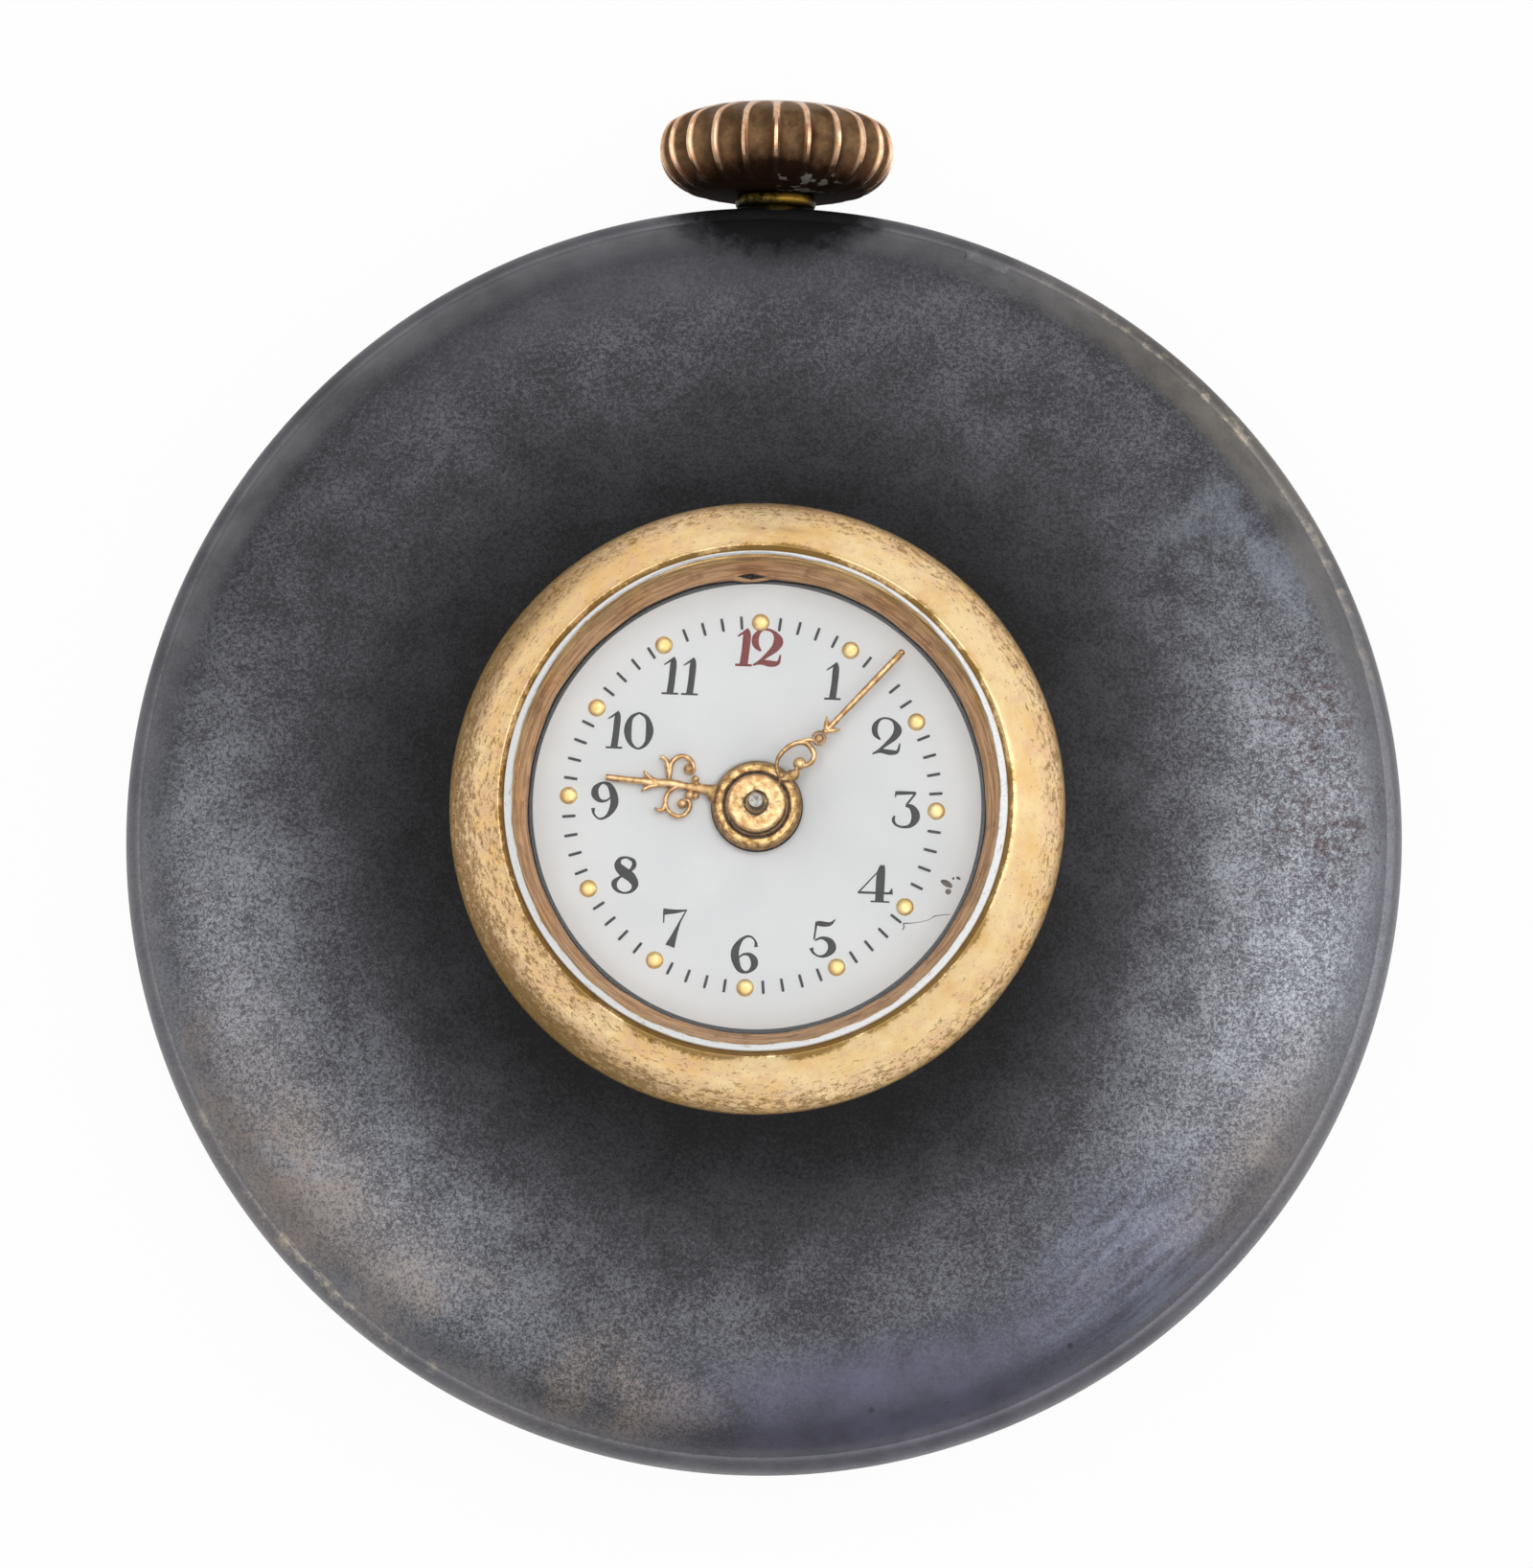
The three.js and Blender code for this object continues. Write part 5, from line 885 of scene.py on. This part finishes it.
def minute_track(sizes):
    """A node tree that sets a bar at each minute but the hours, and the names of its entries."""
    tree = bpy.data.node_groups.new("minute_track", "GeometryNodeTree")
    face = tree.interface
    face.new_socket("Geometry", in_out="OUTPUT", socket_type="NodeSocketGeometry")
    entries = {}
    for name, value in sizes.items():
        kind = "NodeSocketInt" if isinstance(value, int) else "NodeSocketFloat"
        entries[name] = face.new_socket(name, in_out="INPUT", socket_type=kind).identifier
    kinds = {"start": "NodeGroupInput", "end": "NodeGroupOutput", "ring": "GeometryNodeMeshCircle",
             "number": "GeometryNodeInputIndex", "after hour": "ShaderNodeMath",
             "between": "FunctionNodeCompare", "place": "GeometryNodeInputPosition",
             "spin": "FunctionNodeAlignRotationToVector", "bar": "GeometryNodeMeshCube",
             "size": "ShaderNodeCombineXYZ", "set": "GeometryNodeInstanceOnPoints",
             "whole": "GeometryNodeRealizeInstances", "finish": "GeometryNodeSetMaterial"}
    nodes = {name: tree.nodes.new(kind) for name, kind in kinds.items()}
    nodes["after hour"].operation = "MODULO"
    nodes["after hour"].inputs[1].default_value = MINUTES / 12
    nodes["between"].operation = "GREATER_THAN"
    nodes["between"].inputs["B"].default_value = 0.5
    nodes["spin"].axis = "X"
    nodes["bar"].inputs["Vertices X"].default_value = 5
    nodes["finish"].inputs["Material"].default_value = BLACK_PRINT
    links = (("start", "Steps", "ring", "Vertices"), ("start", "Radius", "ring", "Radius"),
             ("number", 0, "after hour", 0), ("after hour", 0, "between", "A"),
             ("place", 0, "spin", "Vector"), ("start", "Length", "size", "X"),
             ("start", "Width", "size", "Y"), ("start", "Height", "size", "Z"), ("size", 0, "bar", "Size"),
             ("ring", 0, "set", "Points"), ("between", 0, "set", "Selection"),
             ("bar", "Mesh", "set", "Instance"), ("spin", 0, "set", "Rotation"), ("set", 0, "whole", 0),
             ("whole", 0, "finish", 0), ("finish", 0, "end", 0))
    for source, result, target, entry in links:
        tree.links.new(nodes[source].outputs[result], nodes[target].inputs[entry])
    return tree, entries


def printed_mark(x, y, z):
    """Narrows a stroke's ends a little and sets it on the enamel, turned as the print is."""
    body, narrowing, extra_turn, sector = 0.14, 0.12, 0.4, TURN / MINUTES
    narrow = narrowing if abs(math.hypot(x, y) / MM - MARK_CIRCLE) > body else 0.0
    middle = round(math.atan2(y, x) / sector) * sector
    mx, my = math.cos(middle), math.sin(middle)
    across = (x * -my + y * mx) * (1 - narrow)
    along = x * mx + y * my
    x, y = turned(along * mx - across * my, along * my + across * mx, -DIAL_TURN - extra_turn)
    rise = DIAL_TOP + (PRINT_TOP - DIAL_TOP) / 2
    return x + PRINT_CENTRE[0] * MM, y + PRINT_CENTRE[1] * MM, z + rise * MM


# Strokes of the numerals: across, up and width, in hundredths of a numeral's height
STROKES = {digit: in_parts(100, strokes) for digit, strokes in {
    "1": [[(8, 100, 2), (8, 93, 10), (7, 85, 15), (4, 40, 16), (0, 3, 17)],
          [(-18, 79, 3), (-5, 88, 5), (10, 99, 6)],
          [(-22, 2.5, 5), (22, 2.5, 5)]],
    "2": [[(-16.5, 41.5, 4), (-30, 57.5, 13), (-31.5, 77.5, 14), (-17.5, 96.5, 6), (0, 99.5, 5),
           (17.5, 91.5, 8), (29, 70, 20), (22.5, 52.5, 17), (2.5, 32.5, 10), (-17.5, 15, 6), (-35, 2.5, 4)],
          [(-35, 5, 3), (-12.5, 11.5, 10), (12.5, 8.5, 13), (30, 11.5, 8), (36, 33.5, 3)]],
    "3": [[(-28, 93, 10), (-5, 94, 9), (24, 95, 6)],
          [(-28, 97, 5), (-30, 82, 3)],
          [(24, 95, 5), (0, 62, 5)],
          [(-2, 60, 6), (12, 58, 12), (24, 42, 20), (25, 25, 20), (12, 7, 10), (-8, 3, 6), (-25, 8, 6),
           (-33, 20, 8), (-30, 32, 5)]],
    "4": [[(16, 99, 12), (13, 80, 20), (11, 3, 21)],
          [(20, 100, 3), (-45, 25, 4)],
          [(-47, 25, 6), (44, 25, 5)],
          [(40, 23, 12), (43, 38, 3)],
          [(-12, 2, 4), (38, 2, 4)]],
    "5": [[(31, 100, 2), (18, 88, 9), (0, 87, 13), (-16, 89, 12)],
          [(-18, 93, 6), (-23, 45, 4)],
          [(-21, 43, 4), (-2, 50, 7), (20, 40, 17), (25, 22, 20), (10, 4, 10), (-9, 1, 5), (-24, 10, 6),
           (-30, 22, 11)]],
    "6": [[(30, 70, 10), (27, 86, 5), (12, 98, 5), (-7, 91, 8), (-25, 60, 19), (-23, 32, 19), (-10, 7, 12),
           (8, 2, 6), (25, 17, 15), (26, 34, 18), (13, 49, 10), (-4, 49, 5), (-17, 38, 4)]],
    "7": [[(-30, 92, 16), (0, 93, 10), (33, 98, 3)],
          [(-28, 90, 5), (-28, 62, 2)],
          [(31, 97, 3), (15, 65, 5), (0, 25, 15), (-9, 0, 24)]],
    "8": [[(2, 98, 5), (22, 88, 10), (23, 74, 11), (8, 57, 6), (-15, 42, 7), (-27, 28, 14), (-22, 12, 10),
           (-2, 2, 5), (20, 8, 8), (28, 25, 17), (17, 44, 24), (-6, 60, 25), (-19, 76, 18), (-14, 92, 9),
           (2, 98, 5)]],
    "0": [[(0, 98, 5), (20, 85, 10), (29, 50, 19), (20, 15, 10), (0, 2, 5), (-20, 15, 10), (-29, 50, 19),
           (-20, 85, 10), (0, 98, 5)]],
}.items()}
STROKES["9"] = [[(-x, 1 - y, w) for x, y, w in line] for line in STROKES["6"]]

# Middles of the numerals, and how far the figures of a pair lie from theirs
NUMERAL_PLACES = {
    "1": (1.604, 2.771), "2": (2.789, 1.569), "3": (3.244, -0.016), "4": (2.614, -1.647),
    "5": (1.485, -2.854), "6": (-0.208, -3.235), "7": (-1.753, -2.68), "8": (-2.845, -1.543),
    "9": (-3.312, 0.07), "10": (-2.765, 1.626), "11": (-1.719, 2.832), "12": (0.018, 3.476),
}
PAIRS = {"10": (-0.44, 0.2), "11": (-0.26, 0.26), "12": (-0.44, 0.17)}


def numerals(names, name, finish, weight=1.08):
    """Printed figures: every stroke is a crowned ribbon on the enamel."""
    shells = []
    for text in names:
        centre = NUMERAL_PLACES[text]
        for digit, shift in zip(text, PAIRS.get(text, (0.0,))):
            for stroke in STROKES[digit]:
                line = []
                for x, y, width in flowing(stroke, 6):
                    x, y = turned((x + shift) * NUMERAL_HEIGHT, (y - 0.5) * NUMERAL_HEIGHT, -DIAL_TURN)
                    line.append((centre[0] + x, centre[1] + y,
                                 max(width * weight, THINNEST_STROKE) * NUMERAL_HEIGHT))
                shells.append(ribbon(line, PRINT_FOOT, PRINT_TOP))
    piece(name, shells, finish, "watch", sharp=60)


def age_marks():
    """A hairline crack by the four and the old chips above it, filled with dirt."""
    lines = in_parts(1000, [
        [(3235, -2506, 30), (3440, -2496, 16), (3790, -2417, 12), (3894, -2345, 22), (4018, -2320, 18),
         (4250, -2295, 14)],
        [(4030, -1560, 50), (4090, -1590, 120), (4200, -1650, 130), (4270, -1700, 60)],
        [(4170, -1740, 60), (4190, -1800, 140), (4200, -1860, 70)],
        [(4270, -1500, 30), (4295, -1510, 60), (4320, -1520, 20)],
        [(4360, -1480, 30), (4400, -1500, 70), (4450, -1530, 30)],
        [(3220, -2510, 20), (3245, -2580, 30), (3210, -2660, 20)]
    ])
    shells = [ribbon(flowing(line, 5), PRINT_FOOT, CRACK_TOP) for line in lines]
    piece("age_marks", shells, OLD_DIRT, "watch", sharp=60)


# Hands
def hand_strip(line, angle, low, high, steps=7):
    """A crowned strip along places given along a hand and to its right, with their widths."""
    along = flowing(line, steps) if len(line) > 2 else line
    return ribbon([clockwise(p, angle) for p in along], low, high)


def hand_shells(lines, studs, angle, low, high):
    """The strips of a hand, and small domed studs with their radii where scrolls end or cross."""
    shells = [hand_strip(line, angle, low, high) for line in lines]
    for along, right, radius in studs:
        shells.append(button(clockwise((along, right), angle), radius, low, high + STUD_RISE))
    return shells


def hour_hand():
    """A stem with scrolled sides and an arrow tip, on a ring round its pipe."""
    low, high, hub = HOUR_LEVEL
    lines = in_parts(1000, [
        [(900, 93, 560), (968, 97, 440), (1081, 125, 280), (1207, 138, 220), (1435, 131, 200),
         (1609, 118, 175), (1787, 122, 190), (1963, 112, 200), (2134, 90, 184), (2236, 72, 200),
         (2341, 62, 225), (2448, 58, 190), (2586, 46, 155)],
        [(2448, 58, 158), (2586, 45, 155), (3177, 0, 140), (3341, -10, 133)],
        [(2280, 100, 120), (2435, 170, 125), (2560, 280, 25)],
        [(2191, 30, 100), (2373, -42, 105), (2525, -165, 50)],
        [(1977, 186, 100), (2019, 356, 125), (2078, 510, 120), (2133, 600, 100), (2211, 645, 85),
         (2265, 600, 45)],
        [(1983, 200, 100), (2002, 350, 120), (2007, 525, 125), (1935, 675, 115), (1791, 755, 105),
         (1633, 715, 120), (1521, 600, 84), (1491, 475, 70), (1550, 410, 63), (1650, 420, 60)],
        [(1779, 82, 100), (1927, -63, 105), (1972, -230, 105), (1945, -370, 105), (1856, -485, 96),
         (1713, -552, 96), (1565, -540, 88), (1462, -440, 100), (1423, -300, 105), (1459, -194, 88),
         (1570, -175, 70)],
        [(1955, -237, 70), (1962, -375, 88), (1988, -480, 100), (2067, -505, 79), (2165, -478, 50)]
    ])
    studs = ((1.608, 0.505, 0.109), (1.419, 0.31, 0.085), (1.599, -0.27, 0.104), (1.477, -0.055, 0.105),
             (1.34, -0.045, 0.077), (1.375, 0.22, 0.07))
    shells = hand_shells(lines, studs, HOUR_ANGLE, low, high)
    ring = eased([(0.63, low, 0), (0.95, low, 0), (0.99, low + 0.05, 0.03), (0.93, high + 0.02, 0.04),
                  (0.88, hub, 0.04), (0.74, hub, 0.04), (0.69, high + 0.03, 0.02), (0.63, high + 0.03, 0)])
    shells.append(lathe(ring, 96))
    piece("hour_hand_fine", shells, HANDS, "hour", ["hour_hand"], 40)


def minute_hand():
    """A long thin hand with a scroll, a small ring and a barb, on a cap over the pipe."""
    low, high, boss = MINUTE_LEVEL
    lines = in_parts(1000, [
        [(720, 8, 60), (827, 69, 160), (939, 122, 260), (1031, 148, 260), (1112, 140, 160), (1155, 100, 90),
         (1224, 90, 70)],
        [(610, 60, 80), (730, -2, 70), (833, -173, 77), (940, -289, 88), (1094, -355, 100),
         (1278, -364, 110), (1464, -326, 115), (1624, -235, 120), (1702, -110, 123), (1698, 30, 126),
         (1640, 165, 130), (1520, 235, 125), (1378, 220, 115), (1300, 170, 90)],
        [(1640, -220, 90), (1760, -170, 90), (1850, -50, 80), (1862, 80, 50)],
        [(2200, 0, 140), (2600, 0, 130), (3400, 0, 145), (4200, 0, 150), (4550, 0, 155)],
        [(2190, 0, 120), (2300, -90, 120), (2430, -210, 30)],
        [(2190, 0, 120), (2300, 100, 120), (2420, 205, 30)],
        [(2100, 0, 100), (2250, 0, 120)]
    ])
    loop_middle, loop_radius, loop_steps = 1.973, 0.148, 26
    studs = ((1.279, 0.075, 0.14), (loop_middle, 0.0, 0.1), (2.17, 0.0, 0.08), (4.55, 0.0, 0.078))
    shells = hand_shells(lines, studs, MINUTE_ANGLE, low, high)
    turns = [TURN * k / loop_steps for k in range(loop_steps + 1)]
    loop = [(loop_middle + loop_radius * math.cos(a), loop_radius * math.sin(a), 0.05) for a in turns]
    shells.append(hand_strip(loop, MINUTE_ANGLE, low, high, 1))
    ring = eased([(0.43, low, 0), (0.62, low, 0.02), (0.635, boss - 0.04, 0.03), (0.59, boss, 0.03),
                  (0.27, boss, 0.02), (0.235, boss - 0.02, 0.01), (0.235, boss - 0.05, 0),
                  (0.43, boss - 0.05, 0)])
    shells.append(lathe(ring, 80))
    seat = [(0.16, boss - 0.075), (0.24, boss - 0.075), (0.24, boss - 0.055), (0.16, boss - 0.055)]
    shells.append(lathe(seat, 48))
    piece("minute_hand_fine", shells, HANDS, "minute", ["minute_hand"], 40)


# Crown and tube
def crown():
    """A squat fluted crown: rings of places round the stem, drawn in between the ridges."""
    profile = flowing([(0.0, 0.64, 0.1), (0.06, 0.79, 0.35), (0.24, 0.94, 1.0), (0.5, 1.0, 1.0),
                       (0.8, 0.92, 0.7), (0.96, 0.66, 0.2), (1.0, 0.5, 0.0)], 8)
    per_ridge, first_ridge, hollow_width, hollow_power, dirt_share = 20, 8.5, 1.32, 0.7, 1.4
    steps, rows = RIDGES * per_ridge, len(profile)
    points, faces, depths = [], [], []
    for share, wide, flute in profile:
        flute = max(flute, 0.0)
        for k in range(steps):
            across = abs((k % per_ridge) / per_ridge - 0.5) * 2
            hollow = max(0.0, 1 - across ** 2 * hollow_width) ** hollow_power
            radius = CROWN_RADIUS * wide - FLUTE_DEPTH * flute * hollow
            turn = TURN * (k - first_ridge) / steps
            points.append((radius * math.cos(turn), CROWN_START + CROWN_LENGTH * share,
                           AXIS_HEIGHT - radius * math.sin(turn)))
            depths.append(hollow * min(1.0, flute * dirt_share))
    points += [(0.0, CROWN_START, AXIS_HEIGHT), (0.0, CROWN_START + CROWN_LENGTH, AXIS_HEIGHT)]
    depths += [1.0, 0.2]
    foot, end, last = rows * steps, rows * steps + 1, (rows - 1) * steps
    sides = [(k, (k + 1) % steps) for k in range(steps)]
    for i in range(0, last, steps):
        faces += [(i + a, i + b, i + b + steps, i + a + steps) for a, b in sides]
    for a, b in sides:
        faces += [(a, b, foot), (last + a, last + b, end)]
    piece("crown_fine", [(points, faces)], CROWN, "winding", ["crown"], 40,
          ("flute", depths))


def pendant_tube():
    """The tube in the side wall and its collar under the crown."""
    outline = eased([(0.43, 13.2, 0), (0.56, 13.2, 0), (0.56, 14.0, 0), (0.86, 14.0, 0.05),
                     (0.9, 14.15, 0.07), (0.84, 14.29, 0.06), (0.43, 14.29, 0.02)])
    shell = about_stem(lathe(outline, 96))
    piece("pendant_tube_fine", [shell], COLLAR, "watch", ["pendant_tube"])


case_body()
front_shell()
bezel()
inner_ring()
crystal()
dial_disc()
hour_dots()
age_marks()
minute_marks()
numerals([n for n in NUMERAL_PLACES if n != "12"], "black_numerals", BLACK_PRINT)
numerals(["12"], "red_numeral", RED_PRINT, 1.3)
hour_hand()
minute_hand()
crown()
pendant_tube()

# Finishes of the carried-over nodes
FINISHES = {
    GILT: "main_plate barrel_bridge third_cock fourth_cock escape_cock balance_cock",
    CENTRE: "centre_wheel",
    BRASS: "third_wheel fourth_wheel minute_wheel hour_wheel barrel_drum barrel_cover balance_wheel",
    STEEL: """cannon_pinion setting_wheel winding_stem winding_pinion sliding_pinion setting_lever yoke
              case_screw_1 case_screw_2 barrel_arbor ratchet_wheel crown_wheel click escape_wheel
              balance_staff hairspring_stud regulator""",
    BLUE_STEEL: """bridge_screw_1 bridge_screw_2 bridge_screw_3 bridge_screw_4 bridge_screw_5
                   bridge_screw_6 ratchet_screw crown_wheel_screw click_screw click_spring mainspring
                   hairspring""",
    RUBY: "end_jewel",
    RING_METAL: "movement_ring",
    COPPER: "dial_base",
}
for finish, names in FINISHES.items():
    for name in names.split():
        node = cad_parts[name]
        node.data.materials.clear()
        node.data.materials.append(finish)


# Floor, light and camera
def seen_plainly(tree):
    """One for what is seen straight, in a mirror or through glass, nothing for light that falls."""
    rays = tree.nodes.new("ShaderNodeLightPath").outputs
    either = rays["Is Camera Ray"]
    for name in ("Is Glossy Ray", "Is Transmission Ray"):
        most = tree.nodes.new("ShaderNodeMath")
        most.operation = "MAXIMUM"
        tree.links.new(either, most.inputs[0])
        tree.links.new(rays[name], most.inputs[1])
        either = most.outputs[0]
    return either


def floor():
    """A white table just under the watch, which looks plain white and still takes its shadow."""
    size, clearance, whiteness = 4.0, 0.00002, 0.96
    f = Finish("white_table")
    f.surface("f2f2f2", 0.0, 0.8)
    f.blend(f.times(seen_plainly(f.tree), whiteness), f.shader, f.add("Emission"))
    mesh = bpy.data.meshes.new("table")
    corners = [(-size, -size, 0), (size, -size, 0), (size, size, 0), (-size, size, 0)]
    mesh.from_pydata(corners, [], [(0, 1, 2, 3)])
    mesh.materials.append(f.material)
    item = in_scene("table", mesh)
    item.location.z = -clearance


def studio():
    """White all round where it is seen, a level light from everywhere, and two soft lamps."""
    light_level = 0.62
    world = bpy.data.worlds.new("studio")
    bpy.context.scene.world = world
    world.use_nodes = True
    tree = world.node_tree
    tree.nodes.clear()
    out, back = tree.nodes.new("ShaderNodeOutputWorld"), tree.nodes.new("ShaderNodeBackground")
    level = tree.nodes.new("ShaderNodeMapRange")
    level.inputs["To Min"].default_value = light_level
    level.inputs["To Max"].default_value = 1.0
    tree.links.new(seen_plainly(tree), level.inputs["Value"])
    tree.links.new(level.outputs["Result"], back.inputs["Strength"])
    tree.links.new(back.outputs[0], out.inputs["Surface"])
    lamp("overhead", (0.15, 0.1, 1.1), 1.3, 5.0)
    lamp("right_fill", (0.8, 0.15, 0.45), 0.6, 1.2)


def lamp(name, place, size, power):
    """A round soft lamp that points at the middle of the watch."""
    light = bpy.data.lights.new(name, "AREA")
    light.shape = "DISK"
    light.size = size
    light.energy = power
    item = in_scene(name, light)
    item.location = place
    item.rotation_euler = (Vector((0, 0, 0.004)) - Vector(place)).to_track_quat("-Z", "Y").to_euler()


def camera():
    """Looks almost straight down, from slightly below the six, at the photograph's angle."""
    tilt, side, roll = math.radians(VIEW_TILT), math.radians(VIEW_SIDE), math.radians(VIEW_ROLL)
    back = Vector((math.sin(tilt) * math.sin(side), -math.sin(tilt) * math.cos(side), math.cos(tilt)))
    across = Vector((0, 1, 0)).cross(back).normalized()
    up = back.cross(across)
    right = math.cos(roll) * across + math.sin(roll) * up
    above = -math.sin(roll) * across + math.cos(roll) * up
    target = Vector((0, 0, AXIS_HEIGHT)) + (AIM_PIXELS[0] * right + AIM_PIXELS[1] * above) / PIXELS_PER_MM
    data = bpy.data.cameras.new("camera")
    item = in_scene("camera", data)
    item.location = (target + VIEW_DISTANCE * back) * MM
    item.rotation_euler = Matrix((right, above, back)).transposed().to_euler()
    data.sensor_fit = "VERTICAL"
    data.sensor_height = 36
    data.lens = data.sensor_height * VIEW_DISTANCE / (PHOTO_HEIGHT / PIXELS_PER_MM)
    data.clip_start = 0.01
    data.clip_end = 20
    bpy.context.scene.camera = item


floor()
studio()
camera()
bpy.context.scene.view_settings.view_transform = "Standard"
